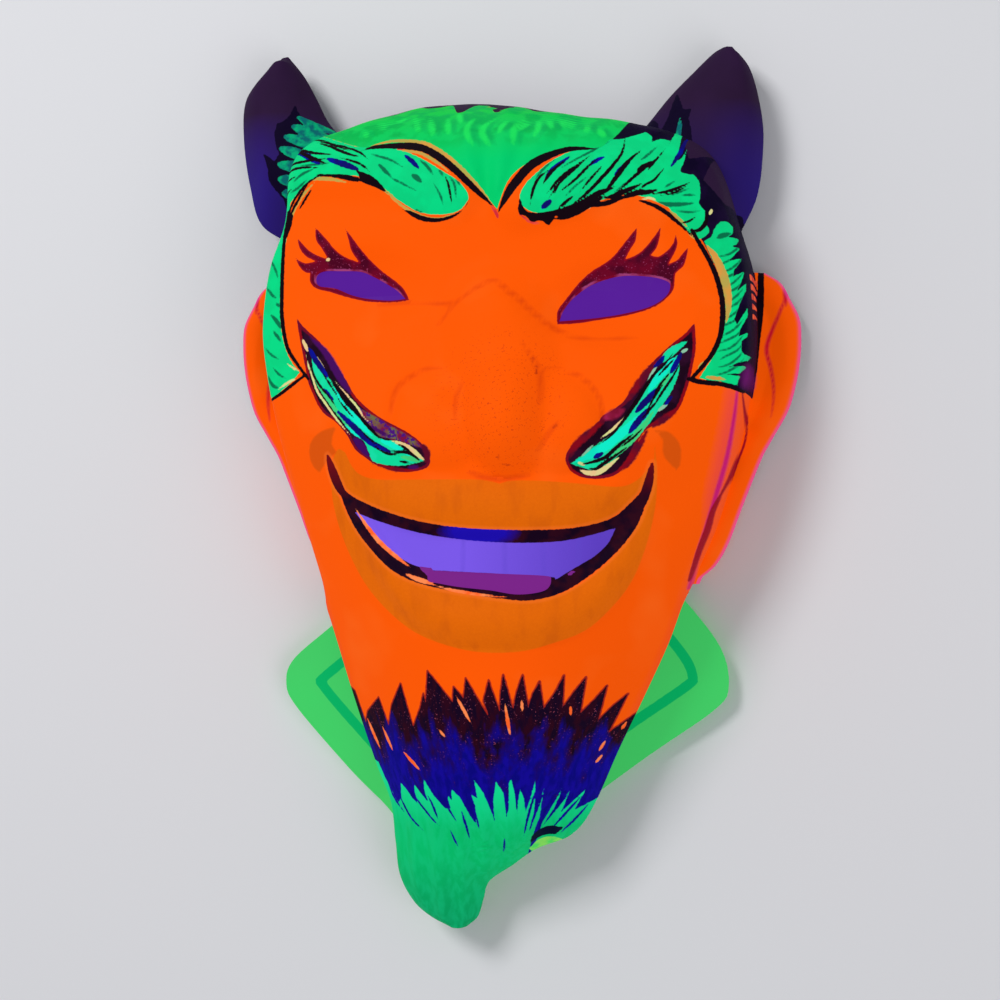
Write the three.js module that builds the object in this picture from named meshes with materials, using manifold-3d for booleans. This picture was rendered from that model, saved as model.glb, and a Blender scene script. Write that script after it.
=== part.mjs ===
// A devil face mask of thin moulded plastic sheet, lying on its back rim.
// Millimetres. +X is the viewer's right, +Y runs to the crown, +Z out of the face.
import * as THREE from 'three';
import { mergeVertices } from 'three/addons/utils/BufferGeometryUtils.js';
import Module from 'manifold-3d';

const wasm = await Module();
wasm.setup();

// Driving dimensions
const EAR_REACH = 104;          // midline to the outer edge of an ear
const HORN_TIP = 160.5;         // height of the left horn's tip above the middle
const GOATEE_TIP = -160.5;      // the goatee's tip below the middle
const CAP_TOP = 141.2;          // top rim of the hair cap
const SHEET = 1.5;              // thickness of the moulded sheet
const COLLAR_SHEET = 1.2;       // thickness of the collar's flat sheet
const FILM = 0.8;               // thickness of the films behind the openings
const GAP = 0.35;               // room between two pieces that touch
const WALL_ROUND = 5;           // how far in from the rim the side wall rounds over
const WALL_POWER = 3;           // squareness of that rounding
const SIDE_WALL_END = -30;      // below this the side wall fades out into the bare jaw edge
const JAW_START = -44;
const JAW_EDGE = 2;             // height of the jaw's trimmed edge

const clamp = (value, low, high) => Math.min(high, Math.max(low, value));
const mix = (a, b, t) => a + (b - a) * t;

function ease(from, to, value) {
  const t = clamp((value - from) / (to - from), 0, 1);
  return t * t * (3 - 2 * t);
}

// A smooth curve through rows of [position, value], in rising order of position.
function curveThrough(rows) {
  const slope = rows.map((row, i) => {
    const before = rows[Math.max(0, i - 1)];
    const after = rows[Math.min(rows.length - 1, i + 1)];
    return (after[1] - before[1]) / (after[0] - before[0]);
  });
  return (at) => {
    const x = clamp(at, rows[0][0], rows[rows.length - 1][0]);
    let i = 0;
    while (i < rows.length - 2 && x > rows[i + 1][0]) i += 1;
    const span = rows[i + 1][0] - rows[i][0];
    const t = (x - rows[i][0]) / span;
    const rise = rows[i + 1][1] - rows[i][1];
    return rows[i][1] + t * t * (3 - 2 * t) * rise
      + t * (1 - t) * (1 - t) * span * slope[i] - t * t * (1 - t) * span * slope[i + 1];
  };
}

// The rim's outline, left and right, for each height y.
const leftEdge = curveThrough([
  [GOATEE_TIP, -23], [-157.5, -29.5], [-152, -36], [-142, -41], [-129, -42], [-114, -43.5],
  [-101, -48.5], [-77, -56.5], [-46.5, -65], [-9.5, -75], [20, -83], [44, -87.5], [58, -88.5],
  [78, -86], [95, -80.5], [117, -79], [125, -75], [130, -64], [135, -52], [139, -39],
  [CAP_TOP, -26],
]);
const rightEdge = curveThrough([
  [GOATEE_TIP, -17], [-157, -13], [-150, -10.5], [-143, -8], [-136.5, 1], [-130, 10],
  [-125, 22], [-116, 29.5], [-93, 40], [-72, 50], [-54.5, 58], [-34, 65.5], [-13, 74.5],
  [11, 81.5], [32, 86], [52.5, 88.5], [77, 87], [93, 82.5], [110, 77.5], [119, 72],
  [125, 63], [129, 50], [132, 34], [136, 17], [139, 4], [CAP_TOP, -8],
]);

// Heights of the face along its middle and along the fold at its edges.
const crest = curveThrough([
  [GOATEE_TIP, 20], [-145, 27], [-125, 38], [-105, 48], [-85, 56], [-62, 63], [-45, 67],
  [-20, 70], [8, 70], [30, 66], [55, 60], [75, 60], [95, 62], [112, 60], [125, 56],
  [CAP_TOP, 52],
]);
const fold = curveThrough([
  [GOATEE_TIP, 17], [-145, 20], [-125, 25], [-80, 27], [-55, 30], [-35, 34], [0, 40],
  [30, 43], [60, 44], [100, 43], [125, 41], [CAP_TOP, 40],
]);
const CROWN_POWER = 2.2;
const CAP_DROP = 34;            // the cap rounds down to its rim over this length
const CAP_POWER = 2.2;
const roundOver = curveThrough([
  [GOATEE_TIP, WALL_ROUND], [104, WALL_ROUND], [118, 9], [126, 18], [132, 26], [CAP_TOP, 30],
]);

function dome(x, y, [centreX, centreY, radiusX, radiusY], power) {
  const q = ((x - centreX) / radiusX) ** 2 + ((y - centreY) / radiusY) ** 2;
  return q < 1 ? (1 - q) ** power : 0;
}

// 1 on the line from a to b, falling to 0 at the half width.
function ridge(x, y, [ax, ay, bx, by], halfWidth) {
  const length2 = (bx - ax) ** 2 + (by - ay) ** 2;
  const t = clamp(((x - ax) * (bx - ax) + (y - ay) * (by - ay)) / length2, 0, 1);
  const away = Math.hypot(x - mix(ax, bx, t), y - mix(ay, by, t)) / halfWidth;
  return away < 1 ? (1 - away * away) ** 1.5 : 0;
}

// The nose: a round bulb, two nostril wings and the bridge, blended as one form.
const NOSE_TIP = [6, 26, 17, 23];
const NOSTRIL_LEFT = [-16, 22, 18, 17];
const NOSTRIL_RIGHT = [24, 22, 15, 18];
const BRIDGE = [1, 58, 5, 36];
const NOSE_HEIGHT = 17;
const NOSTRIL_HEIGHT = 7;
const BRIDGE_HEIGHT = 8;
const BRIDGE_HALF = 21;
const NOSE_POWER = 1;

function nose(x, y) {
  const parts = [
    NOSE_HEIGHT * dome(x, y, NOSE_TIP, NOSE_POWER),
    NOSTRIL_HEIGHT * dome(x, y, NOSTRIL_LEFT, NOSE_POWER),
    NOSTRIL_HEIGHT * dome(x, y, NOSTRIL_RIGHT, NOSE_POWER),
    BRIDGE_HEIGHT * ridge(x, y, BRIDGE, BRIDGE_HALF),
  ];
  return Math.cbrt(parts.reduce((sum, height) => sum + height ** 3, 0));
}

// The wide grin: a sunk crescent of teeth between the two lips.
const MOUTH_HALF = 54;
const lipTop = (x) => -14 + 22 * Math.abs((x - 1) / MOUTH_HALF) ** 4;
const lipBottom = (x) => -37.5 + 40 * Math.abs((x - 3) / MOUTH_HALF) ** 3;
const chinLine = (x) => -55.5 + 52 * Math.abs((x - 3) / 57) ** 3.2;
const TEETH_DEPTH = 2.5;
const UPPER_LIP = 2.2;
const LOWER_LIP = 3.6;

function mouth(x, y) {
  const ends = 1 - ease(34, 56, Math.abs(x - 2));
  const top = lipTop(x);
  const bottom = lipBottom(x);
  let height = -TEETH_DEPTH * ease(0, 5, Math.min(top - y, y - bottom)) * ends;
  const lower = clamp((y - chinLine(x)) / (bottom - chinLine(x) + 1e-6), 0, 1);
  height += LOWER_LIP * Math.sin(Math.PI * lower) * ends;
  const upper = clamp((y - top) / (3 - top + 1e-6), 0, 1);
  height += UPPER_LIP * Math.sin(Math.PI * upper) * (1 - ease(38, 46, Math.abs(x - 2)));
  return height;
}

// Locks of the hair cap fan out from the widow's peak; the goatee hangs in strands.
const HAIR_CENTRE = [0, 66];
const LOCK_COUNT = 26;
const LOCK_RELIEF = 1.2;
const STRAND_SPACING = 9;
const STRAND_RELIEF = 0.9;
const hairLine = curveThrough([
  [-80, 124], [-44, 120], [-28, 119.5], [-10, 108], [1, 97], [8, 108], [20, 114.5],
  [36, 116], [60, 122], [80, 124],
]);

function hair(x, y) {
  const angle = Math.atan2(y - HAIR_CENTRE[1], x - HAIR_CENTRE[0]);
  const onCap = ease(0, 6, y - hairLine(x));
  const onGoatee = ease(-110, -122, y);
  return onCap * LOCK_RELIEF * (1 + Math.sin(angle * LOCK_COUNT))
    + onGoatee * STRAND_RELIEF * Math.sin((2 * Math.PI * x) / STRAND_SPACING);
}

const CHEEKS = [[-45, 26, 30, 32], [49, 24, 30, 32]];
const SOCKETS = [[-47, 69, 27, 17], [43, 62, 27, 17]];
const BROWS = [[-76, 113, -38, 111], [-38, 111, -14, 102], [10, 98, 40, 106], [40, 106, 76, 92]];
const CHIN = [2, -80, 36, 26];
const TUFT_CREASE = [19, -110, 9, -133];
const CHEEK_HEIGHT = 5;
const SOCKET_DEPTH = 4.5;
const BROW_HEIGHT = 4;
const BROW_HALF = 13;
const CHIN_HEIGHT = 3;
const CREASE_DEPTH = 4;
const CREASE_HALF = 4.5;

function relief(x, y) {
  const cheeks = CHEEK_HEIGHT * Math.max(...CHEEKS.map((place) => dome(x, y, place, 2)));
  const sockets = SOCKET_DEPTH * Math.max(...SOCKETS.map((place) => dome(x, y, place, 1.6)));
  const brows = BROW_HEIGHT * Math.max(...BROWS.map((line) => ridge(x, y, line, BROW_HALF)));
  const chin = CHIN_HEIGHT * dome(x, y, CHIN, 2);
  const crease = CREASE_DEPTH * ridge(x, y, TUFT_CREASE, CREASE_HALF);
  return nose(x, y) + mouth(x, y) + hair(x, y) + cheeks - sockets + brows + chin - crease;
}

// Height of the outer surface at a place, with share the part of the wall that is climbed.
function faceHeight(x, y, share) {
  const left = leftEdge(y);
  const right = rightEdge(y);
  const across = clamp((2 * x - left - right) / (right - left), -1, 1);
  const crown = mix(fold(y), crest(y), 1 - Math.abs(across) ** CROWN_POWER);
  const inside = Math.min(x - left, right - x);
  const front = crown + relief(x, y) * ease(0, 9, inside);
  const cap = clamp((CAP_TOP - y) / CAP_DROP, 0, 1);
  const capShare = (1 - (1 - cap) ** CAP_POWER) ** (1 / CAP_POWER);
  const jaw = ease(SIDE_WALL_END, JAW_START, y);
  const rim = jaw * (fold(y) - JAW_EDGE);
  return mix(rim, front, share * capShare);
}

// Across each row the points step round the side wall first, then run evenly over the face.
const ROWS = 56;
const WALL_STEPS = 4;
const FACE_STEPS = 32;
const COLUMNS = FACE_STEPS + 2 * WALL_STEPS;

function facePoint(y, column) {
  const left = leftEdge(y);
  const right = rightEdge(y);
  const round = Math.min(roundOver(y), 0.42 * (right - left));
  const fromEnd = Math.min(column, COLUMNS - column);
  let x;
  let share = 1;
  if (fromEnd <= WALL_STEPS) {
    const angle = (fromEnd / WALL_STEPS) * (Math.PI / 2);
    const inset = round * (1 - Math.cos(angle) ** (2 / WALL_POWER));
    share = Math.sin(angle) ** (2 / WALL_POWER);
    x = column < WALL_STEPS + 1 ? left + inset : right - inset;
  } else {
    const t = (column - WALL_STEPS) / FACE_STEPS;
    x = mix(left + round, right - round, t);
  }
  return new THREE.Vector3(x, y, faceHeight(x, y, share));
}

// Rows lie closer together at the goatee's tip and where the cap rounds over.
const rowHeight = curveThrough([
  [0, GOATEE_TIP], [2, -157.6], [6, -145], [12, -120], [44, 108], [50, 130], [54, 139.4],
  [ROWS, CAP_TOP],
]);

const faceGrid = Array.from({ length: ROWS + 1 }, (_, row) => {
  const y = rowHeight(row);
  return Array.from({ length: COLUMNS + 1 }, (__, column) => facePoint(y, column));
});

function gridNormal(grid, row, column) {
  const rowBefore = grid[Math.max(0, row - 1)][column];
  const rowAfter = grid[Math.min(grid.length - 1, row + 1)][column];
  const line = grid[row];
  const along = line[Math.min(line.length - 1, column + 1)].clone();
  along.sub(line[Math.max(0, column - 1)]);
  return along.cross(rowAfter.clone().sub(rowBefore)).normalize();
}

// The points round a grid's border, in order, as [row, column].
function borderOf(rows, columns) {
  const border = [];
  for (let column = 0; column < columns; column += 1) border.push([0, column]);
  for (let row = 0; row < rows; row += 1) border.push([row, columns]);
  for (let column = columns; column > 0; column -= 1) border.push([rows, column]);
  for (let row = rows; row > 0; row -= 1) border.push([row, 0]);
  return border;
}

// A closed sheet: the front grid, a back face with every stride-th point, and the edge between.
function sheetGeometry(grid, backPoint, stride = 2) {
  const positions = [];
  const triangles = [];
  const rows = grid.length - 1;
  const columns = grid[0].length - 1;
  const addPoint = (point) => positions.push(point.x, point.y, point.z) / 3 - 1;
  const corner = (index) => new THREE.Vector3().fromArray(positions, 3 * index);
  const addQuad = (a, b, c, d) => {
    if (corner(a).distanceTo(corner(c)) < corner(b).distanceTo(corner(d))) {
      triangles.push(a, b, c, a, c, d);
    } else {
      triangles.push(a, b, d, b, c, d);
    }
  };
  const front = grid.map((line) => line.map(addPoint));
  const back = [];
  for (let row = 0; row <= rows; row += stride) {
    back.push([]);
    for (let column = 0; column <= columns; column += stride) {
      back[row / stride].push(addPoint(backPoint(row, column)));
    }
  }
  for (let row = 0; row < rows; row += 1) {
    for (let column = 0; column < columns; column += 1) {
      addQuad(front[row][column], front[row][column + 1],
        front[row + 1][column + 1], front[row + 1][column]);
    }
  }
  for (let row = 0; row < rows / stride; row += 1) {
    for (let column = 0; column < columns / stride; column += 1) {
      addQuad(back[row][column], back[row + 1][column],
        back[row + 1][column + 1], back[row][column + 1]);
    }
  }
  const frontRim = borderOf(rows, columns).map(([row, column]) => front[row][column]);
  const backRim = borderOf(rows / stride, columns / stride)
    .map(([row, column]) => back[row][column]);
  for (let i = 0; i < backRim.length; i += 1) {
    const here = backRim[i];
    const next = backRim[(i + 1) % backRim.length];
    const middle = frontRim[stride * i + stride - 1];
    const end = frontRim[(stride * i + stride) % frontRim.length];
    if (stride === 2) triangles.push(frontRim[stride * i], here, middle);
    triangles.push(middle, here, next, middle, next, end);
  }
  const geometry = new THREE.BufferGeometry();
  geometry.setAttribute('position', new THREE.Float32BufferAttribute(positions, 3));
  geometry.setIndex(triangles);
  return geometry;
}

// The back of a moulded sheet lies one thickness in along the normal; its rim stays on the floor.
function behind(grid, row, column, depth) {
  const point = grid[row][column];
  const back = point.clone().addScaledVector(gridNormal(grid, row, column), -depth);
  if (point.z < JAW_EDGE) back.z = Math.max(point.z, 0);
  return back;
}

function toSolid(geometry) {
  const plain = geometry.clone();
  plain.deleteAttribute('normal');
  plain.deleteAttribute('uv');
  const merged = mergeVertices(plain, 1e-4);
  return new wasm.Manifold(new wasm.Mesh({
    numProp: 3,
    vertProperties: new Float32Array(merged.getAttribute('position').array),
    triVerts: new Uint32Array(merged.getIndex().array),
  }));
}

function toGeometry(solid) {
  const mesh = solid.getMesh();
  const geometry = new THREE.BufferGeometry();
  geometry.setAttribute('position', new THREE.Float32BufferAttribute(mesh.vertProperties, 3));
  geometry.setIndex(Array.from(mesh.triVerts));
  return geometry;
}

// A prism through the sheet, from a closed outline seen from the front.
const CUTTER_HEIGHT = 120;

function cutter(outline) {
  const loop = outline.map(([x, y]) => new THREE.Vector2(x, y));
  const spline = new THREE.SplineCurve([...loop, loop[0]]);
  const shape = new THREE.Shape(spline.getPoints(loop.length * 3));
  return toSolid(new THREE.ExtrudeGeometry(shape, { depth: CUTTER_HEIGHT, bevelEnabled: false }));
}

// Almond openings of the eyes, and the round-ended slot that stands for the tongue.
const EYE_RIGHT = [[22.5, 56.5], [37, 58], [53, 62], [60, 68], [53, 72], [39, 71], [27, 64.5]];
const EYE_LEFT = [[-31.5, 65], [-46, 66], [-62, 70.5], [-64, 75], [-51, 75.5], [-39.5, 71.5]];
const MOUTH_SLOT = [[-19, -27.5], [0, -28], [20, -29], [22, -31.5], [14, -36], [-2, -35.5],
  [-19, -32.5], [-22, -30]];

// An ear is a flat flange at the foot of the side wall, with a rolled rim and a hollow.
const earEdge = curveThrough([
  [-35, 64.5], [-32, 69], [-28, 73.5], [-20, 78], [-8, 82.5], [3, 86.8], [12, 90.5],
  [19, 94.5], [28, 99.5], [38, 102.3], [46, 103.6], [54, EAR_REACH], [61, 103.4],
  [68, 100], [74, 96.5], [77.5, 91],
]);
const EAR_BOTTOM = -35;
const EAR_TOP = 77.5;
const EAR_ROWS = 20;
const EAR_COLUMNS = 6;
const EAR_FOOT = 5.5;
const EAR_ROLL = 4;             // height of the rolled rim
const EAR_ROLL_WIDTH = 11;
const EAR_HOLLOW = [90, 42, 9, 26];
const EAR_HOLLOW_DEPTH = 1.5;
const EAR_LEAST_WIDTH = 3;
const EAR_INSET = 0.8;          // how deep the flange reaches into the side wall

function earPoint(side, y, across) {
  const inner = (side > 0 ? rightEdge(y) : -leftEdge(y)) - EAR_INSET;
  const outer = Math.max(earEdge(y), inner + EAR_LEAST_WIDTH);
  const x = mix(inner, outer, across);
  const fromRim = Math.min(1, (outer - x) / EAR_ROLL_WIDTH);
  const roll = EAR_ROLL * Math.sin(Math.PI * mix(0.12, 1, fromRim));
  const hollow = EAR_HOLLOW_DEPTH * dome(x, y, EAR_HOLLOW, 1);
  return new THREE.Vector3(side * x, y, EAR_FOOT + roll - hollow);
}

function earSolid(side) {
  const grid = Array.from({ length: EAR_ROWS + 1 }, (_, row) => {
    const y = mix(EAR_BOTTOM, EAR_TOP, 0.5 - 0.5 * Math.cos((Math.PI * row) / EAR_ROWS));
    return Array.from({ length: EAR_COLUMNS + 1 }, (__, column) => {
      const across = column / EAR_COLUMNS;
      return earPoint(side, y, side > 0 ? across : 1 - across);
    });
  });
  const down = new THREE.Vector3(0, 0, -SHEET);
  return toSolid(sheetGeometry(grid, (row, column) => grid[row][column].clone().add(down)));
}

const shellSolid = toSolid(sheetGeometry(faceGrid, (row, column) => (
  behind(faceGrid, row, column, SHEET))))
  .add(earSolid(1))
  .add(earSolid(-1))
  .subtract(cutter(EYE_LEFT))
  .subtract(cutter(EYE_RIGHT))
  .subtract(cutter(MOUTH_SLOT));

// A film is a patch of the points of the face's inner side, a gap behind the sheet.
function filmGeometry(rowFrom, rowTo, columnFrom, columnTo) {
  const layer = (depth) => {
    const patch = [];
    for (let row = rowFrom; row <= rowTo; row += 2) {
      patch.push([]);
      for (let column = columnFrom; column <= columnTo; column += 2) {
        patch[patch.length - 1].push(behind(faceGrid, row, column, depth));
      }
    }
    return patch;
  };
  const back = layer(SHEET + GAP + FILM);
  return sheetGeometry(layer(SHEET + GAP), (row, column) => back[row][column], 1);
}

// The film that covers a box of the face, given by its corners, to the next points outside it.
function filmOver([xFrom, yFrom, xTo, yTo]) {
  const heights = faceGrid.map((line) => line[0].y);
  const rowFrom = 2 * Math.floor((heights.findIndex((y) => y > yFrom) - 1) / 2);
  const rowTo = 2 * Math.ceil(heights.findIndex((y) => y > yTo) / 2);
  const places = faceGrid[rowFrom + 2].map((point) => point.x);
  const columnFrom = 2 * Math.floor((places.findIndex((x) => x > xFrom) - 1) / 2);
  const columnTo = 2 * Math.ceil(places.findIndex((x) => x > xTo) / 2);
  return filmGeometry(rowFrom, rowTo, columnFrom, columnTo);
}

// A horn is a pointed leaf of sheet, arched over a hollow back, whose base follows the temple.
const HORN_ROWS = 12;
const HORN_COLUMNS = 8;
const HORN_GAP = 0.5;
const HORN_FOOT = 13;
const HORN_ARCH = 15;
const HORN_ARCH_POWER = 2.4;
const HORN_FLATTENS = 0.55;     // share of the arch that is lost by the tip
const HORN_RIGHT = {
  side: 1,
  inner: [[57, 141], [66, 150], [73, 156.5], [77.5, 158.7]],
  outer: [[88.5, 105], [90.5, 121], [90, 134], [86, 150], [79.5, 158.5]],
  base: [92, 129.5],
};
const HORN_LEFT = {
  side: -1,
  inner: [[-70, 136], [-74, 144], [-79, 153], [-85, HORN_TIP]],
  outer: [[-95, 98], [-99.5, 112], [-102, 130], [-101, 145], [-93, 155], [-87, 160.2]],
  base: [90, 129.8],
};

function planCurve(points) {
  return new THREE.CatmullRomCurve3(points.map(([x, y]) => new THREE.Vector3(x, y, 0)));
}

function hornGeometry({ side, inner, outer, base }) {
  const templeAt = (across) => {
    const y = mix(base[0], base[1], Math.sin((across * Math.PI) / 2));
    return [side > 0 ? rightEdge(y) : leftEdge(y), y];
  };
  const outerCurve = planCurve([templeAt(0), ...outer]);
  const innerCurve = planCurve([templeAt(1), ...inner]);
  const grid = [];
  for (let row = 0; row <= HORN_ROWS; row += 1) {
    const up = row / HORN_ROWS;
    const from = outerCurve.getPoint(up);
    const to = innerCurve.getPoint(up);
    grid.push([]);
    for (let column = 0; column <= HORN_COLUMNS; column += 1) {
      const across = column / HORN_COLUMNS;
      const [templeX, templeY] = templeAt(across);
      const bow = (1 - up) ** 2;
      const point = from.clone().lerp(to, across);
      point.x += bow * (templeX - mix(templeAt(0)[0], templeAt(1)[0], across));
      point.y += bow * (templeY - mix(base[0], base[1], across));
      point.x += side * HORN_GAP * (1 - up);
      point.y += HORN_GAP * (1 - up);
      const arch = HORN_ARCH * (1 - Math.abs(2 * across - 1) ** HORN_ARCH_POWER);
      point.z = HORN_FOOT + arch * (1 - HORN_FLATTENS * up);
      grid[row].push(point);
    }
    if (side > 0) grid[row].reverse();
  }
  const down = new THREE.Vector3(0, 0, -SHEET);
  return sheetGeometry(grid, (row, column) => grid[row][column].clone().add(down));
}

// The collar is one cut sheet behind the jaw, bent up in front to meet the goatee's back.
const COLLAR_OUTLINE = [[-60, -42], [-69, -51], [-84, -64], [-87, -73], [-83, -82], [-64, -103.5],
  [-54, -115.5], [-48.5, -127], [-45, -142], [-37, -154], [-20, -152], [-4, -141], [17, -121.5],
  [48.5, -98], [73, -80.5], [78, -72], [75, -58], [62, -41], [54, -34]];
const COLLAR_NECK = [[-50, -42], [-50, -60], [-44, -80], [-30, -98], [-8, -106], [14, -100],
  [32, -82], [44, -62], [47, -36]];
const COLLAR_HEIGHT = 8;
const COLLAR_BEND = 8.5;
const COLLAR_RISE = [-24, -148, 38, 46];
const COLLAR_ROWS = 4;
const COLLAR_COLUMNS = 36;

function collarGeometry() {
  const outline = planCurve(COLLAR_OUTLINE);
  const neck = planCurve(COLLAR_NECK);
  const grid = [];
  for (let row = 0; row <= COLLAR_ROWS; row += 1) {
    grid.push([]);
    for (let column = 0; column <= COLLAR_COLUMNS; column += 1) {
      const along = column / COLLAR_COLUMNS;
      const point = outline.getPointAt(along).lerp(neck.getPointAt(along), row / COLLAR_ROWS);
      point.z = COLLAR_HEIGHT + COLLAR_BEND * dome(point.x, point.y, COLLAR_RISE, 1.2);
      grid[row].push(point);
    }
  }
  const down = new THREE.Vector3(0, 0, -COLLAR_SHEET);
  return sheetGeometry(grid, (row, column) => grid[row][column].clone().add(down));
}

const plastic = (color) => new THREE.MeshStandardMaterial({ color, roughness: 0.5, metalness: 0 });
const orange = plastic(0xfe5a02);
const purple = plastic(0x2b1540);
const green = plastic(0x4ecc68);
const violet = plastic(0x5c1984);

const mask = new THREE.Group();

function addPiece(name, geometry, material) {
  const piece = new THREE.Mesh(geometry, material);
  piece.name = name;
  mask.add(piece);
}

addPiece('mask_shell', toGeometry(shellSolid), orange);
addPiece('eye_film_left', filmOver([-65, 62, -30, 77]), violet);
addPiece('eye_film_right', filmOver([24, 54, 60, 73]), violet);
addPiece('mouth_film', filmOver([-23, -38, 23, -26]), violet);
addPiece('horn_left', hornGeometry(HORN_LEFT), purple);
addPiece('horn_right', hornGeometry(HORN_RIGHT), purple);
addPiece('collar', collarGeometry(), green);

export default mask;
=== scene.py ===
"""A devil mask of thin moulded plastic, painted in fluorescent colours, lying face up."""
from math import cos, pi, radians, sin

import bpy
import numpy as np
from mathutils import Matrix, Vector


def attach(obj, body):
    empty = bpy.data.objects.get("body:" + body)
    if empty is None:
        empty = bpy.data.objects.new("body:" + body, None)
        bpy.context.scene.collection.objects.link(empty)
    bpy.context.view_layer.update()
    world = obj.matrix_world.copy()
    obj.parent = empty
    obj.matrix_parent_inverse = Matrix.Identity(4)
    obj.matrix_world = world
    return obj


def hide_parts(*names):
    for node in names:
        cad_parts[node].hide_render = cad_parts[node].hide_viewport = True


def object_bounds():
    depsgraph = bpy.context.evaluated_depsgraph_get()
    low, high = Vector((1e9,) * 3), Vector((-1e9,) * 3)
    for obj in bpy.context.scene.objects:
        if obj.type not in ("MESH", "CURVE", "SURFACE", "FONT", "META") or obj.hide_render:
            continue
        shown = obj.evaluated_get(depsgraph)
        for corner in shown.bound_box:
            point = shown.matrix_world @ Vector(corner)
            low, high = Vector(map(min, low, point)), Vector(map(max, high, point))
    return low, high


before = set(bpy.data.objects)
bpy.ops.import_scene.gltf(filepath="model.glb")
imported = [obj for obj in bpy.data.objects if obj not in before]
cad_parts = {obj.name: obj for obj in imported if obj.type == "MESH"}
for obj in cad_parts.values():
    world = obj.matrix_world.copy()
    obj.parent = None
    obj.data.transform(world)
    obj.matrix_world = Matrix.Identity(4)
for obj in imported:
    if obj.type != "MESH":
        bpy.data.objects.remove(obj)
cad_low, cad_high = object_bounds()

# The mask is one sheet of plastic, 1.5 mm thick, drawn down hot over a carved block and
# trimmed round its rim: the face, the hair cap and the deep side walls, with the two ears
# as flat flanges at their foot. Millimetres, with y = 0 half way up the whole mask.
MM = 0.001
SHEET = 1.5
GOATEE_TIP = -160.5
CAP_TOP = 141.2


def ease(start, end, value):
    """From 0 to 1, smoothly, as the value goes from start to end."""
    t = np.clip((value - start) / (end - start), 0, 1)
    return t * t * (3 - 2 * t)


def curve_through(*rows):
    """A smooth curve through (position, value) rows, in rising order of position."""
    place, height = np.array(rows, float).T
    slope = np.gradient(height)
    slope[1:-1] = (height[2:] - height[:-2]) / (place[2:] - place[:-2])
    slope[0] /= place[1] - place[0]
    slope[-1] /= place[-1] - place[-2]

    def at(position):
        x = np.clip(position, place[0], place[-1])
        i = np.clip(np.searchsorted(place, x) - 1, 0, len(place) - 2)
        span = place[i + 1] - place[i]
        t = (x - place[i]) / span
        rise = height[i + 1] - height[i]
        return (height[i] + t * t * (3 - 2 * t) * rise
                + t * (1 - t) ** 2 * span * slope[i] - t * t * (1 - t) * span * slope[i + 1])
    return at


# The rim's outline seen from the front, left and right, by height.
left_edge = curve_through(
    (GOATEE_TIP, -23), (-157.5, -29.5), (-152, -36), (-142, -41), (-129, -42), (-114, -43.5),
    (-101, -48.5), (-77, -56.5), (-46.5, -65), (-9.5, -75), (20, -83), (44, -87.5), (58, -88.5),
    (78, -86), (95, -80.5), (117, -79), (125, -75), (130, -64), (135, -52), (139, -39),
    (CAP_TOP, -26))
right_edge = curve_through(
    (GOATEE_TIP, -17), (-157, -13), (-150, -10.5), (-143, -8), (-136.5, 1), (-130, 10),
    (-125, 22), (-116, 29.5), (-93, 40), (-72, 50), (-54.5, 58), (-34, 65.5), (-13, 74.5),
    (11, 81.5), (32, 86), (52.5, 88.5), (77, 87), (93, 82.5), (110, 77.5), (119, 72),
    (125, 63), (129, 50), (132, 34), (136, 17), (139, 4), (CAP_TOP, -8))

# Heights of the face by place up the mask: along its middle, and along the fold where it turns
# into the side wall. The wall leans in by wall_round between its foot and that fold.
crest = curve_through(
    (GOATEE_TIP, 20), (-145, 27), (-125, 38), (-105, 48), (-85, 56), (-62, 63), (-45, 67),
    (-20, 70), (8, 70), (30, 66), (55, 60), (75, 60), (95, 62), (112, 60), (125, 56),
    (CAP_TOP, 52))
fold = curve_through(
    (GOATEE_TIP, 17), (-145, 20), (-125, 25), (-80, 27), (-55, 30), (-35, 34), (0, 40),
    (30, 43), (60, 44), (100, 43), (125, 41), (CAP_TOP, 40))
wall_round = curve_through(
    (GOATEE_TIP, 5), (104, 5), (118, 9), (126, 18), (132, 26), (CAP_TOP, 30))

# The lower edge of the hair cap, and of the step over the bridge of the nose, by place across.
hair_line = curve_through(
    (-80, 124), (-44, 120), (-28, 119.5), (-10, 108), (1, 97), (8, 108), (20, 114.5),
    (36, 116), (60, 122), (80, 124))
arch_step = curve_through(
    (-60, 58), (-26, 62.5), (-17, 63.5), (-9, 66.5), (-2, 69), (3.5, 68.8), (7.5, 66),
    (11.5, 61.5), (18, 56.5), (23, 54), (29.5, 51), (37, 49.5), (60, 49))


def dome(x, y, centre_x, centre_y, radius_x, radius_y, power):
    """1 at the centre of an oval, falling to 0 at its edge."""
    out = ((x - centre_x) / radius_x) ** 2 + ((y - centre_y) / radius_y) ** 2
    return np.clip(1 - out, 0, 1) ** power


def ridge(x, y, ax, ay, bx, by, half_width):
    """1 on the line from a to b, falling to 0 at the half width."""
    along = ((x - ax) * (bx - ax) + (y - ay) * (by - ay)) / ((bx - ax) ** 2 + (by - ay) ** 2)
    t = np.clip(along, 0, 1)
    away = np.hypot(x - ax - (bx - ax) * t, y - ay - (by - ay) * t) / half_width
    return np.clip(1 - away * away, 0, 1) ** 1.5


def nose(x, y):
    """The nose's bulb, wings and bridge, run into one another."""
    bulb = 17 * dome(x, y, 6, 26, 17, 23, 1)
    wings = 7 * (dome(x, y, -16, 22, 18, 17, 1) ** 3 + dome(x, y, 24, 22, 15, 18, 1) ** 3) ** (1 / 3)
    bridge = 8 * ridge(x, y, 1, 58, 5, 36, 21)
    return np.cbrt(bulb ** 3 + wings ** 3 + bridge ** 3)


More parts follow.
